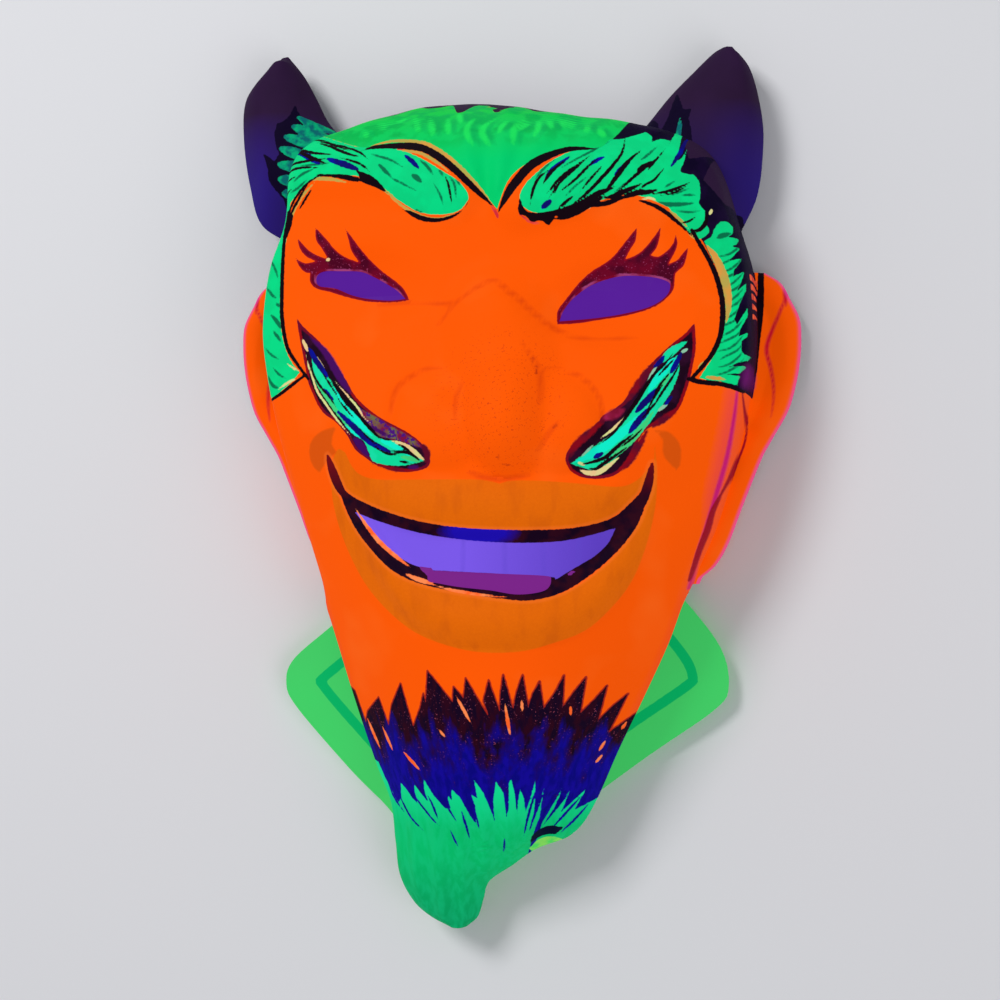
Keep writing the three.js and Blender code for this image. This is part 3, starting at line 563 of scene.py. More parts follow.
PINK = [(1.2, [(-0.5, 96.2), (1.5, 93.6), (2.2, 91.3)]), (1.2, [(-34.6, 117.2), (-31, 117.6)]),
        (1.0, [(14, 109.6), (18, 112), (24.5, 113.6)]), (0.9, [(9, 93.5), (13, 90.2), (18, 89.5)]),
        (0.8, [(28, 94), (33, 95.8), (38, 98.6)])]

# Round each eye opening lies a maroon lid that runs out into four lashes.
RIGHT_LASHES = [[(22, 55.5), (22, 60), (25, 64.5), (29, 69.5), (33.5, 73.5), (38.5, 76.5),
                 (41.5, 79), (45.5, 84)],
                [(49, 88.3), (48.5, 84), (46.5, 80.5)],
                [(45, 77.5), (49.5, 79.5), (53, 83)],
                [(57, 88.5), (56.5, 85), (55.5, 81.5)],
                [(53.5, 79), (56, 78.5), (59, 80.5), (61, 83)],
                [(62, 86), (62.5, 83), (61.5, 80)],
                [(59.5, 76), (62.5, 77.5), (64.5, 80)],
                [(66.2, 82), (65.5, 78.5), (64.5, 75.5), (62, 73), (61.5, 70.5), (61, 67.5),
                 (58.5, 64.5), (52.5, 61), (45, 58.8), (36, 57.2), (28, 55.8)]]
LEFT_LASHES = [[(-30, 64.8), (-32, 68.5), (-34.5, 71), (-36.5, 72.5), (-40.5, 75.5),
                (-44.5, 79.3), (-47.8, 83.3), (-50.8, 87.3)],
               [(-53.5, 90.8), (-52, 86.5), (-51, 82.5)],
               [(-48.5, 78.5), (-53.5, 80.5), (-57, 83), (-60.5, 87)],
               [(-65, 91.5), (-64.5, 87), (-62, 83.5)],
               [(-60, 80), (-64, 81.5), (-68, 84)],
               [(-72.3, 88.5), (-71, 84.5), (-68.5, 81.5)],
               [(-64.5, 79.5), (-68.5, 79), (-71, 80)],
               [(-72.8, 81.3), (-71, 78), (-69, 76)],
               [(-67, 75.5), (-67, 72.5), (-65, 70.2), (-60, 68.8), (-52.5, 66.5), (-44.5, 64.8),
                (-35.5, 64.5)]]

# The moustache is two dark leaves, each with a core of green, blue-green and cream bristles.
LEFT_MOUSTACHE = [[(-72, 60), (-71, 54), (-70, 49.5), (-69, 45), (-68, 41), (-66.8, 36.5),
                   (-64.5, 32), (-62.5, 28.5), (-59.5, 25.3), (-56, 23.2), (-53.2, 20.8),
                   (-50.2, 17.5), (-47.5, 13), (-43.5, 10), (-40.5, 8), (-36.5, 6.3), (-32.5, 5.3),
                   (-28, 5), (-23.5, 5.7), (-20.5, 7.2), (-19.8, 10), (-21, 13), (-24, 16),
                   (-28.5, 19), (-35, 22), (-40, 25), (-44.5, 28.5), (-48, 32), (-51, 36.5),
                   (-54.5, 41), (-57.5, 45), (-61, 49), (-64, 52), (-67.5, 55), (-70, 57.3)]]
LEFT_BRISTLES = [[(-66, 46.5), (-65.3, 42), (-63.8, 38.5), (-60.3, 33.5), (-56.8, 29.3),
                  (-53.8, 25.3), (-50, 21.5), (-46.3, 18), (-43.8, 15.3), (-42.3, 12),
                  (-40.8, 8.8), (-36.5, 7.6), (-31.5, 7.2), (-27.5, 7.6)],
                 [(-22, 8.8), (-25, 12), (-29, 14), (-33.5, 15.7), (-37.5, 16.3), (-41, 19.2),
                  (-44.5, 23), (-48, 27), (-52, 31.5), (-56.5, 36), (-59.5, 39.5), (-63, 44)]]
RIGHT_MOUSTACHE = [[(68.3, 56), (65, 52.3), (60.5, 48.5), (56.5, 44.5), (54, 41.7), (52, 39),
                    (50.5, 36.5), (48.5, 33.5), (46.5, 30.5), (45, 28.3), (41, 25.2), (38.5, 24),
                    (37, 21.7), (32.5, 17.2), (29.5, 14.7), (27.3, 12), (26.3, 9.3), (26.8, 7),
                    (28, 5), (31, 3.3), (34.5, 2.7), (38, 2.7), (41.5, 3.5), (44, 5), (46, 7.3),
                    (48, 10.3), (49.5, 13.5), (51, 17), (53, 19.3), (56, 21), (59.5, 23),
                    (62.3, 25), (64.3, 28.5), (65.5, 32), (66.7, 36), (67.8, 41.5), (68.7, 48)]]
RIGHT_BRISTLES = [[(62.8, 45), (59.5, 41.5), (56, 37.5), (53, 33.5), (51, 29.5), (48, 25.3),
                   (44.5, 21.2), (41, 17.3), (36, 13.7), (31, 10)],
                  [(28, 7.7), (32, 6.3), (36, 5.5), (40, 7.6), (44.5, 11.2), (49, 15.5),
                   (53, 20.3), (56.5, 25.3), (60, 30.7), (62, 35), (63.3, 39.7)]]
LEAVES = [(2.7, [(57.3, 42.3), (59, 44.3), (61.8, 47), (66, 49.8)])]
AQUA = [
    (2.6, [(-56.5, 35), (-52.5, 29.8), (-48.5, 25), (-44.5, 21), (-40.5, 17)]),
    (1.4, [(-51.5, 22), (-48, 19), (-44.5, 16.5)]), (1.9, [(-38.5, 16), (-33, 14), (-26, 9.8)]),
    (3.0, [(62.3, 44.3), (59, 40.5), (56, 36.5), (53.2, 31.5)]),
    (3.2, [(53, 26.5), (49, 22), (46.5, 19.5), (43.5, 17), (40, 14), (36.5, 12), (33, 9.7),
           (28.5, 7.8)])]
GREEN_TO_LIME = [
    (1.6, [(-66.3, 42.7), (-63, 36.5), (-59, 31.5), (-55.5, 27.3), (-51.5, 22.7), (-47.7, 19.2)]),
    (1.4, [(60.3, 38.5), (58.5, 35.5), (55.7, 32)]), (1.6, [(-31.5, 10.2), (-27, 9.6), (-23, 8.2)]),
    (2.2, [(55.5, 26), (53, 22), (50.5, 19), (48.5, 16.3), (45.5, 13.3), (42, 10.3), (39.5, 8)])]
BLACK_HAIRS = [
    (0.9, [(-66.7, 46.5), (-65, 40), (-62, 35.5), (-57.5, 31), (-54, 26.5)]),
    (2.2, [(-57.5, 37), (-53.5, 33), (-50.5, 29.5), (-47.5, 26.5), (-44.5, 23)]),
    (1.2, [(-36, 12.1), (-31.5, 12), (-27.5, 11.5), (-25, 10), (-22.7, 8)]),
    (1.3, [(-48, 26.5), (-44, 22.5), (-40.5, 19), (-37.5, 16)]),
    (0.9, [(-31.8, 9), (-29.5, 8.5), (-26.5, 7.9)]), (1.0, [(-32.7, 15.1), (-28.5, 13), (-25, 10)]),
    (1.3, [(61.5, 46), (58.5, 41.7), (55.5, 38.5), (53.2, 35), (50.3, 30), (47, 24.7), (44.2, 20.7),
           (40.5, 16.5), (36.5, 13.8)]),
    (0.9, [(60.3, 38.8), (57.5, 35), (55.2, 31.5)]),
    (1.4, [(49.3, 18.3), (45.5, 15.3), (42, 12.3), (39.5, 10), (35, 8.3), (30, 7.2)]),
    (1.3, [(47.3, 13.8), (42, 10), (39, 8), (36, 6), (33, 6.3)]),
    (0.9, [(58.3, 35), (56, 31.5), (52.7, 25)]),
    (0.9, [(63.5, 42), (61, 37), (57, 30.5), (55, 26.5)]),
    (0.8, [(62, 44), (59, 40.5), (56, 37)]), (0.8, [(57, 30), (54, 26), (51, 22.5)]),
    (0.8, [(52, 20), (48, 16), (44, 13)]), (0.8, [(-62, 41), (-58, 36), (-54, 31)]),
    (0.8, [(-55, 31.5), (-51, 27), (-47, 23)]), (0.8, [(-46, 20.5), (-42, 16.5), (-37, 13.5)]),
    (0.8, [(-41, 14.5), (-36, 11.5), (-30, 10.5)])]
VIOLET = [(3.0, [(-67, 53), (-60.5, 47.3), (-56.3, 41.5), (-52.7, 36.5), (-49, 32)]),
          (3.0, [(-48, 17), (-45, 14), (-42, 10.3)]), (1.6, [(-28.5, 6.6), (-24, 6.8)]),
          (1.2, [(54.3, 31), (51.8, 27.7)]), (1.6, [(-43.5, 21.5), (-39, 19.3), (-34, 17.2)])]
MAROON = [(2.6, [(59, 45.5), (55, 41.3), (52.3, 38), (49.7, 34), (47.5, 30.5), (45, 27)]),
          (2.4, [(53.5, 19.5), (51.3, 15.5), (49.3, 12), (47.2, 8.3), (44, 5)]),
          (2.4, [(63.3, 26.8), (58.5, 22.8), (54, 20)]),
          (2.6, [(39.5, 23), (34.5, 18), (30, 14), (27.8, 9.5)]),
          (2.4, [(-22.5, 14.5), (-20.7, 11.5), (-21.5, 8)]),
          (1.4, [(-42, 8.6), (-34, 6.2), (-27, 5.7)])]
ROSE = [(3.2, [(38.5, 22.8), (42, 24.2), (45.7, 26)]), (1.4, [(-35.5, 17.4), (-30.5, 16.2)])]
MOTTLED = [[(-46, 27.3), (-40, 24.2), (-35, 21.3), (-29, 18.3), (-24, 15.3), (-22.5, 13.2)],
           [(-26.5, 14.2), (-33, 16.3), (-38, 17.3), (-42, 21)]]

# The grin: brown lips, a ragged black line round the mouth, and lavender teeth in one band.
UPPER_LIP = [[(-51.5, 12), (-49, 7), (-45.5, 4), (-38.5, 2.5), (-24, 2.5), (-6.5, 2.5), (0, 2)],
             [(4, 1), (8, 2), (17.5, 2), (31, 1), (44, 0), (50.5, 3)],
             [(54, 7.5), (50.5, -1), (42, -9.5), (30.5, -13.5), (4, -14.5), (-20.5, -12.5),
              (-43, -6.5), (-52.5, -0.5)],
             [(-57.5, 8.5), (-54.5, 13)]]
LOWER_LIP = [[(-58, 4), (-58, -4.5), (-55.5, -15), (-51, -25.5), (-45, -35), (-36.5, -43.5),
              (-27, -50), (-16, -54), (-4, -56.3), (10, -56), (21.5, -53), (31.5, -49),
              (39.5, -42), (46.5, -33), (51.5, -21.5), (55, -8), (56, 4)],
             [(55.5, 14), (54.5, 2.5), (50, -11.5), (40, -25), (27, -35), (14, -37.5),
              (-6.5, -36), (-28, -31), (-43, -21), (-53, -8)]]
DIMPLES = [[[(-54.5, 21), (-61, 19.5), (-65.5, 16.5), (-67, 12.5), (-66, 8)],
            [(-63, 5), (-59, 9.5)], [(-55, 12), (-57, 15), (-56.5, 17.5)]],
           [[(55.5, 19), (60, 18.5), (63, 15.5), (64, 12), (63.5, 7.5)],
            [(63, 4.5), (61, 7), (58.5, 10), (58, 12.5), (58, 16)]]]
MOUTH = [[(-58.5, 11), (-57, 6), (-54.5, 1), (-50, -3), (-41, -7), (-27.5, -11), (-13, -13.5),
          (3.5, -14.5), (19, -14.5), (31, -13.5), (41, -10.5), (47.5, -5), (52, 0.5)],
         [(54, 8), (53.5, 0.5), (52, -6), (49, -13.5), (43, -21.5), (35.5, -28.5), (27, -34.5),
          (19.5, -37.5), (12, -38.5), (3.5, -37.8), (-5, -36.7), (-15.5, -35), (-26, -32.5),
          (-34.5, -28.5), (-42, -22), (-48.5, -15), (-52.5, -8), (-55.5, 0.5)]]
TEETH = [[(-49, -8.5), (-39.5, -12), (-28, -15), (-17, -17), (-3.5, -18.5), (10.5, -19),
          (23.5, -18.5), (33.5, -16.5)],
         [(42, -14), (39.5, -19), (35, -23.5), (28.5, -27.5)],
         [(22, -31.5), (20, -30.5), (3.5, -29.5)],
         [(-21, -28.5), (-29, -26), (-36.5, -21), (-43, -15)]]
MOUTH_CORNERS = [(3.8, [(-59, 11), (-57.3, 5.5), (-55.2, 0.5), (-52, -4.5)]),
                 (3.2, [(54.6, 7.8), (53.2, 1.5), (51, -5), (47.5, -11)])]
# Faint darker strokes down the teeth are painted shade in the grooves between them.
TOOTH_GROOVE_SHADES = [(1.2, [(5, -18), (5.2, -30)]), (1.2, [(18, -18), (18.3, -31)]),
               (1.2, [(30, -17), (29.5, -28)]), (1.0, [(-9, -17), (-9.5, -29)])]

# Below the chin the beard is a band of dark blue with spikes, over the green goatee. Slivers
# of the orange show between its strokes, and along the black line under the teeth.
BEARD = [[p] for p in [
    (-65, -69), (-55.5, -73.5), (-51.5, -85), (-50, -80.5), (-44, -74.5), (-40.5, -84.5),
    (-38.5, -77), (-34, -68.5), (-30, -84), (-26.5, -76.5), (-25, -71.5), (-24.3, -75),
    (-23, -63.5), (-14, -74), (-13.5, -68.5), (-10, -72.5), (-9, -65.5), (-1, -79.5),
    (-3, -73), (-1, -66), (2.5, -77), (3, -70), (4, -64), (7, -76), (8.5, -69.5), (10.5, -64),
    (12, -75.5), (13.5, -71), (16, -66.5), (17, -76), (20.5, -71), (24, -64.5), (23, -76),
    (27, -70.5), (31, -65.5), (28.5, -78.5), (33, -74), (37.5, -69), (34, -81.5), (38.5, -77),
    (44, -72.5), (37, -86.5), (42, -83), (48, -79), (60, -79), (60, -170), (-65, -170)]]
SLIVERS = [
    (1.3, [(-50.5, -83), (-48, -88.5), (-45.5, -94)]), (1.2, [(-43.5, -85), (-39.5, -94)]),
    (1.3, [(-35, -93.5), (-28.5, -100)]), (1.2, [(-12.8, -71.5), (-7.5, -81.5)]),
    (1.0, [(-20, -83.8), (-17.5, -86.7)]), (1.2, [(4.4, -74), (5, -80), (5.6, -86)]),
    (1.0, [(10, -72.5), (10, -77)]), (1.0, [(25.5, -75.5), (25.5, -79)]),
    (1.0, [(35, -94.3), (32, -97.6)]), (1.0, [(36, -89.2), (33.5, -93.2)]),
    (1.0, [(41, -86), (43, -83)]),
    (1.5, [(-48.5, -7.5), (-44.5, -13), (-39, -19.3), (-32.5, -24.5), (-28, -27.7)]),
    (1.6, [(-30, -29.7), (-24.5, -31.8), (-19, -33.3)]),
    (1.1, [(-21, -33), (-14, -34.9), (-9.5, -35.7), (-2.5, -36.7), (6.5, -37.4)])]
GOATEE = [[p] for p in [
    (-60, -96), (-47.2, -99.3), (-44.3, -105.5), (-41.3, -111), (-39.3, -113.5), (-37.8, -111),
    (-37.5, -105.5), (-35, -108), (-33, -111), (-31, -112.5), (-31.7, -108), (-31.5, -105.5),
    (-28, -110), (-26.5, -111.5), (-27.7, -107), (-27.5, -103), (-24, -109), (-20, -113.5),
    (-18, -113), (-18.7, -110), (-18.5, -108.5), (-17, -110.5), (-17.3, -108), (-17, -106),
    (-14, -109), (-11, -116), (-9, -119), (-8.8, -112), (-10, -107.5), (-7.8, -109),
    (-8.5, -102), (-5.5, -107), (-3, -115), (-2.5, -118), (-2.3, -110), (-0.8, -102.5),
    (1.5, -107), (1.8, -116), (2.8, -113), (3.6, -103), (4.5, -101.5), (5.3, -107), (5.5, -115),
    (6.3, -110), (7.3, -105.5), (8.3, -109), (8.5, -114), (10.3, -109.5), (12.5, -102.5),
    (12, -109.5), (11, -116.5), (15.3, -105.3), (13, -115.5), (11.5, -122), (21, -106),
    (16.5, -116), (23.5, -107), (20, -115), (28.7, -107), (24.5, -114.5), (32, -111),
    (50, -112), (50, -170), (-52, -170)]]
GOATEE_GAPS = [
    (0.9, [(-39, -110), (-35.5, -116.5), (-29.5, -123)]),
    (0.9, [(-33.5, -108), (-28, -115), (-22.5, -120.5)]),
    (0.9, [(-26.5, -109), (-24.5, -113.5), (-23, -118)]),
    (0.9, [(-20, -110), (-18.5, -114), (-16, -118)]),
    (0.9, [(-14, -114), (-13, -119), (-12, -125)]),
    (0.9, [(-11, -108.5), (-9, -115.5), (-8, -121)]),
    (0.9, [(-19, -121.5), (-17.5, -125), (-16, -128)]),
    (0.9, [(0.5, -124), (0, -127), (-1, -130.5)]),
    (0.9, [(-43.5, -106), (-41.5, -111.5), (-37, -117)]),
    (0.9, [(-48, -142.5), (-45, -150), (-40.5, -155.5)]),
    (1.8, [(-46.5, -122), (-43, -125.5), (-46, -130)]),
    (1.6, [(17.5, -110.5), (13, -118), (10.3, -125), (6, -134)]),
    (0.9, [(21.5, -105.5), (15.5, -112.5), (11.5, -120.5)]),
    (0.9, [(23.5, -107.5), (18, -114), (13.5, -120)]),
    (0.9, [(27.5, -109), (22, -115), (15.5, -122.3)]),
    (0.9, [(29.5, -112.5), (24, -118.5), (19, -123.3)]),
    (0.9, [(16, -104.5), (12, -114), (9, -122)]), (0.9, [(12.8, -105), (9.8, -114), (6.8, -124)])]

# At the right the goatee has a small tuft of its own, lighter, with painted shade in the hollow over
# it.
GOATEE_TIP_PATCH = [[(8.7, -128.4), (10.7, -126.2), (13.5, -125), (17.5, -124.6)],
                    [(19.5, -126), (17, -129), (12.5, -131)], [(8.5, -131), (7.7, -129.5)]]
TUFT_HOLLOW_SHADE = [[(8.2, -127.8), (9.8, -123.6), (12.5, -121.3), (16, -120.5), (20.5, -120.6)],
               [(17.5, -123.6), (13.5, -124.1), (10.5, -125.4)]]

# Pits and scratches in the paint of the nose, and the soft shade in the mould's own folds.
PITS = [[(-16.5, 33.5), (-15.5, 33.4)], [(21.6, 18.6), (23, 20), (24.3, 21.4)],
        [(3.9, -2.5), (5.1, -2.4)], [(4, 9.5), (5, 9.4)], [(7, 7), (8, 7.1)],
        [(6, 8.2), (5.6, 7.6)], [(13, 45), (15.3, 41.7), (16.4, 38)]]
PIT_WIDTH = 1.0
SHADES = [
    (1.7, [(-19, 55.5), (-12.5, 62.5), (-6.5, 67), (-4, 68.5), (-0.5, 70), (2.5, 69.5), (6, 66.5),
           (9.5, 64), (13, 60.5), (16.5, 57.5), (19.5, 55), (24, 52.5), (29, 51), (37, 50),
           (49.5, 51.5)]),
    (1.2, [(-42, 63.5), (-26.5, 64), (-16.5, 63), (-11, 64.5)]),
    (1.5, [(19.5, 40), (24.5, 39.5), (29, 38), (33.5, 35), (37, 30.5), (38.2, 26), (38, 23)]),
    (1.3, [(-17, 41), (-22.5, 40.5), (-28.5, 37.5), (-32.5, 34), (-34, 29.5), (-34.5, 25)]),
    (1.6, [(10.5, 49.5), (16.5, 40.5), (18.2, 33), (18, 27)]),
    (1.4, [(25, 22), (21.5, 18.5), (17, 11.5)]),
    (2.0, [(-8, 6), (-2, 3.2), (6, 2.6), (14, 4)]), (1.2, [(-9, 36), (-11, 30), (-10.5, 22)])]

# The ears and the foot of the right wall are painted too: a line along each rolled rim, a
# black edge where the hair ends, and a pink highlight painted along the trimmed edges. On the
# right wall, which is turned from the light, a patch, a line along the fold and dark lines at
# its foot are painted shade.
HELIX = [(1.5, [(97.5, 72.5), (98, 68), (96.5, 63.5), (94, 58), (92, 53), (91.5, 49), (93, 43.5),
                (94, 37), (94, 31), (93, 24)]), (1.7, [(99, 74.5), (98.3, 70), (98.6, 65)])]
EAR_BLACK = [(2.6, [(89.6, 82), (89.6, 76), (89.4, 68.5), (88.9, 61), (88.4, 56), (88, 49)]),
             (1.1, [(88.4, 56), (88, 48.5), (87, 41), (85, 35)])]
WALL_SHADE_PATCH = [[(79.5, 34), (82.5, 31.5), (82, 24), (79.5, 12), (76, -1.5)],
             [(71.5, -15), (72, -4), (74.5, 8), (77, 20)]]
FOLD_SHADES = [(1.5, [(82.6, 34), (81.5, 24.5), (79, 11), (75.5, -1.5), (72, -13), (68, -24.5),
                (64.5, -36)])]
WALL_CREASE_SHADE = [(0.9, [(84, 35), (84.5, 27), (84.5, 22.5), (83.8, 16.5), (81.3, 9.5), (78.8, 2.5),
                      (76.3, -3), (73.8, -8.5)]),
               (1.9, [(76.3, -3), (73.8, -8.5), (71.8, -15), (68.8, -22.5), (65, -33)])]
FOOT_SHADE = [(3.0, [(86.3, 42), (85.5, 38), (84.8, 34.5)])]
HATCH = [(2.0, [(85.2 + 0.06 * (y - 60), y - 1), (88, y + 0.8)]) for y in np.arange(59, 77, 3.6)]

# How high over the rim the paint on the side walls reaches, where it ends down the mask, and
# how far it runs out past the face's own rim.
CAP_FOOT = 24
NOTCH_RISE = 16
NOTCH_HALF = 6.5
CAP_ENDS = 112
HAIR_FOOT = 8
NIGHT_ENDS = 34
PLUM_ENDS = 97
HELIX_TOP = 12
EAR_LINE_TOP = 15
HATCH_TOP = 36
PAST_RIM = 0.4


def from_rim(x, y):
    """Distance in from the trimmed rim of the face, seen from the front."""
    return np.minimum(x - left_edge(y), right_edge(y) - x)


def paint_edges(x, y, z):
    """Distance into each thing that is painted on the sheet, by name."""
    on_wall = np.clip(from_rim(x, y) + PAST_RIM, -REACH, REACH)
    notch = np.max([depth * ease(NOTCH_HALF, 0.5, abs(x - at)) for at, depth in RIM_NOTCHES], axis=0)
    cap_foot = CAP_FOOT + NOTCH_RISE * np.clip(notch, 0, 1)
    low_wall = np.where(y > CAP_ENDS, cap_foot, fold(y) - HAIR_FOOT) - z
    sides = np.maximum(area(x, y, *NIGHT), np.minimum(low_wall, y - NIGHT_ENDS - 0.2 * z))
    splash = area(x, y, *[[point] for point in RIGHT_SPLASH])
    brows = np.maximum(area(x, y, *LEFT_BROW), area(x, y, *RIGHT_BROW))
    sideburns = np.maximum(area(x, y, *LEFT_SIDEBURN), area(x, y, *RIGHT_SIDEBURN))
    hair = np.minimum(np.maximum(brows, sideburns), -low_wall)
    strand_shade = np.maximum(strokes(x, y, STRAND_SHADE_STROKES), strokes(x, y, SIDEBURN_STROKES))
    ink = np.max([
        *(area(x, y, *arch) for arch in ARCHES), *(area(x, y, *line) for line in BROW_LINES),
        strokes(x, y, LEFT_BROW_STROKES), strokes(x, y, RIGHT_BROW_STROKES),
        strokes(x, y, DARK_LINES, 0.6), strokes(x, y, BLACK_HAIRS)], axis=0)
    return {
        "shade": strokes(x, y, SHADES, 0.3),
        "cap": np.minimum(area(x, y, *CAP), -low_wall),
        "curl_highlights": strokes(x, y, [(CURL_WIDTH, curl) for curl in CAP_CURLS]),
        "curl_shade": strokes(x - CURL_SHADE_SHIFT, y, [(CURL_SHADE_WIDTH, curl) for curl in CAP_CURLS]),
        "night": np.minimum(sides, on_wall),
        "plum": np.min([sides, on_wall, y - PLUM_ENDS, -splash], axis=0),
        "hair": np.minimum(hair, on_wall),
        "strand_shade": np.minimum(strand_shade, hair),
        "tan": strokes(x, y, TAN),
        "pink": strokes(x, y, PINK),
        "lid": np.maximum(area(x, y, *LEFT_LASHES), area(x, y, *RIGHT_LASHES)),
        "moustache": np.maximum(area(x, y, *LEFT_MOUSTACHE), area(x, y, *RIGHT_MOUSTACHE)),
        "maroon": strokes(x, y, MAROON),
        "rose": strokes(x, y, ROSE),
        "mottled": area(x, y, *MOTTLED),
        "violet": strokes(x, y, VIOLET),
        "bristles": np.max([area(x, y, *LEFT_BRISTLES), area(x, y, *RIGHT_BRISTLES),
                            strokes(x, y, LEAVES)], axis=0),
        "aqua": strokes(x, y, AQUA),
        "lime": strokes(x, y, GREEN_TO_LIME),
        "cream": strokes(x, y, CREAM),
        "pale_green": strokes(x, y, PALE_GREEN),
        "ink": ink,
        "blue": strokes(x, y, DARK_BLUE, 0.4),
        "lips": np.maximum(area(x, y, *UPPER_LIP), area(x, y, *LOWER_LIP)),
        "dimples": np.max([area(x, y, *dimple) for dimple in DIMPLES], axis=0),
        "mouth": np.maximum(area(x, y, *MOUTH), strokes(x, y, MOUTH_CORNERS, 0.25)),
        "teeth": area(x, y, *TEETH),
        "tooth_groove_shade": strokes(x, y, TOOTH_GROOVE_SHADES, 0.8),
        "beard": area(x, y, *BEARD),
        "slivers": strokes(x, y, SLIVERS),
        "goatee": np.minimum(area(x, y, *GOATEE), -strokes(x, y, GOATEE_GAPS)),
        "tip": area(x, y, *GOATEE_TIP_PATCH),
        "hollow": area(x, y, *TUFT_HOLLOW_SHADE),
        "pits": strokes(x, y, [(PIT_WIDTH, pit) for pit in PITS], 0.7),
        "helix": np.minimum(strokes(abs(x), y, HELIX), HELIX_TOP - z),
        "ear_line": np.minimum(strokes(x, y, EAR_BLACK, 0.5), EAR_LINE_TOP - z),
        "lens": area(x, y, *WALL_SHADE_PATCH),
        "fold_shade": strokes(x, y, FOLD_SHADES, 0.4),
        "crease": strokes(x, y, WALL_CREASE_SHADE, 0.4),
        "foot_shade": strokes(x, y, FOOT_SHADE),
        "hatch": np.minimum(strokes(x, y, HATCH, 0.5), HATCH_TOP - z),
    }


def srgb(code):
    """A linear colour from an sRGB hex value."""
    parts = [int(code[i:i + 2], 16) / 255 for i in (1, 3, 5)]
    return [p / 12.92 if p < 0.04045 else ((p + 0.055) / 1.055) ** 2.4 for p in parts] + [1]


def add(tree, kind, inputs=None, **settings):
    """Adds a node. Each input is a value, a hex colour or the socket that feeds it."""
    made = tree.nodes.new("ShaderNode" + kind)
    for name, value in settings.items():
        setattr(made, name, value)
    for key, value in (inputs or {}).items():
        if isinstance(value, bpy.types.NodeSocket):
            tree.links.new(value, made.inputs[key])
        else:
            made.inputs[key].default_value = srgb(value) if isinstance(value, str) else value
    return made


def finish_for(name, roughness, ior, glow=0.0, shine=0.04):
    """A new material: its tree, and the shader whose sockets take the surface."""
    material = bpy.data.materials.new(name)
    material.use_nodes = True
    shader = material.node_tree.nodes["Principled BSDF"]
    shader.inputs["Roughness"].default_value = roughness
    shader.inputs["IOR"].default_value = ior
    shader.inputs["Specular IOR Level"].default_value = shine
    shader.inputs["Emission Strength"].default_value = glow
    return material, material.node_tree, shader


# Fluorescent poster paint on the sheet: dead matt and very even, and it glows a little of
# itself, so that its colours stay full in the shade. The brush left ragged edges and grain.
GLOW = 0.62
LIT_SHARE = 0.4
PER_MM = 1000
painted_sheet, tree, shader = finish_for("fluorescent_poster_paint", 0.7, 1.46, GLOW)
place = add(tree, "TexCoord").outputs["Object"]


def cloud(millimetres, detail=2.0, length=1.0):
    """Noise whose patches are about this many millimetres wide, and drawn out down the face."""
    drawn = add(tree, "VectorMath", {0: place, 1: (1, 1 / length, 1)}, operation="MULTIPLY")
    size = {"Vector": drawn.outputs[0], "Scale": PER_MM / millimetres, "Detail": detail}
    return add(tree, "TexNoise", size).outputs["Fac"]


def patches(millimetres, low, high, detail=2.0, length=1.0, most=1.0):
    """The same noise drawn apart into patches: 0 up to low, and the most from high on."""
    parted = {0: cloud(millimetres, detail, length), 1: low, 2: high, 4: most}
    return add(tree, "MapRange", parted).outputs[0]


def shake(millimetres, detail=2.0, length=1.0):
    """The same noise spread about zero, to draw an edge out of true."""
    noise = cloud(millimetres, detail, length)
    return add(tree, "Math", {0: noise, 1: 0.5}, operation="SUBTRACT").outputs[0]


def fade(start, end, axis="Y"):
    """From 0 to 1 between two places in millimetres, up the face or across it."""
    along = add(tree, "SeparateXYZ", {0: place}).outputs[axis]
    return add(tree, "MapRange", {0: along, 1: start * MM, 2: end * MM}).outputs[0]


def mask_of(layer, raggedness=0.5, soft=0.1, inset=0.0):
    """White inside that painted layer, its edge drawn as ragged as its brush left it."""
    distance = add(tree, "Attribute", attribute_name=layer).outputs["Fac"]
    shaken = add(tree, "Math", {0: waver, 1: raggedness, 2: distance}, operation="MULTIPLY_ADD")
    edge = {0: shaken.outputs[0], 1: inset - soft, 2: inset + soft}
    return add(tree, "MapRange", edge).outputs[0]


def coat(below, mask, tone, other=None, parted=None, cover=None):
    """Lays a paint over what is there. It may have two tones, and may cover only in part."""
    if other is not None:
        tone = add(tree, "Mix", {0: parted, 6: tone, 7: other}, data_type="RGBA").outputs[2]
    if cover is not None:
        mask = add(tree, "Math", {0: mask, 1: cover}, operation="MULTIPLY").outputs[0]
    return add(tree, "Mix", {0: mask, 6: below, 7: tone}, data_type="RGBA").outputs[2]


def lay_on(colour, lit_share, grain=None, strength=0.0, depth=0.0):
    """Gives the colour to the surface and its glow, and the grain, so deep in mm, to the bump."""
    lit = add(tree, "VectorMath", {0: colour, "Scale": lit_share}, operation="SCALE")
    tree.links.new(lit.outputs[0], shader.inputs["Base Color"])
    tree.links.new(colour, shader.inputs["Emission Color"])
    if grain is not None:
        relief = {"Strength": strength, "Distance": depth * MM, "Height": grain}
        tree.links.new(add(tree, "Bump", relief).outputs["Normal"], shader.inputs["Normal"])


waver = shake(1.2, 3.0)
large, middling, fine = cloud(45), cloud(6), cloud(0.9, 4.0)
patchy = add(tree, "MapRange", {0: middling, 1: 0.42, 2: 0.58}).outputs[0]
specks, streaky = patches(0.7, 0.66, 0.7, 1.0), patches(2.2, 0.4, 0.6, 3.0, 6.0)
wall, worn, edge_highlight = (add(tree, "Attribute", attribute_name=name).outputs["Fac"]
                     for name in ("wall", "worn", "edge_highlight"))

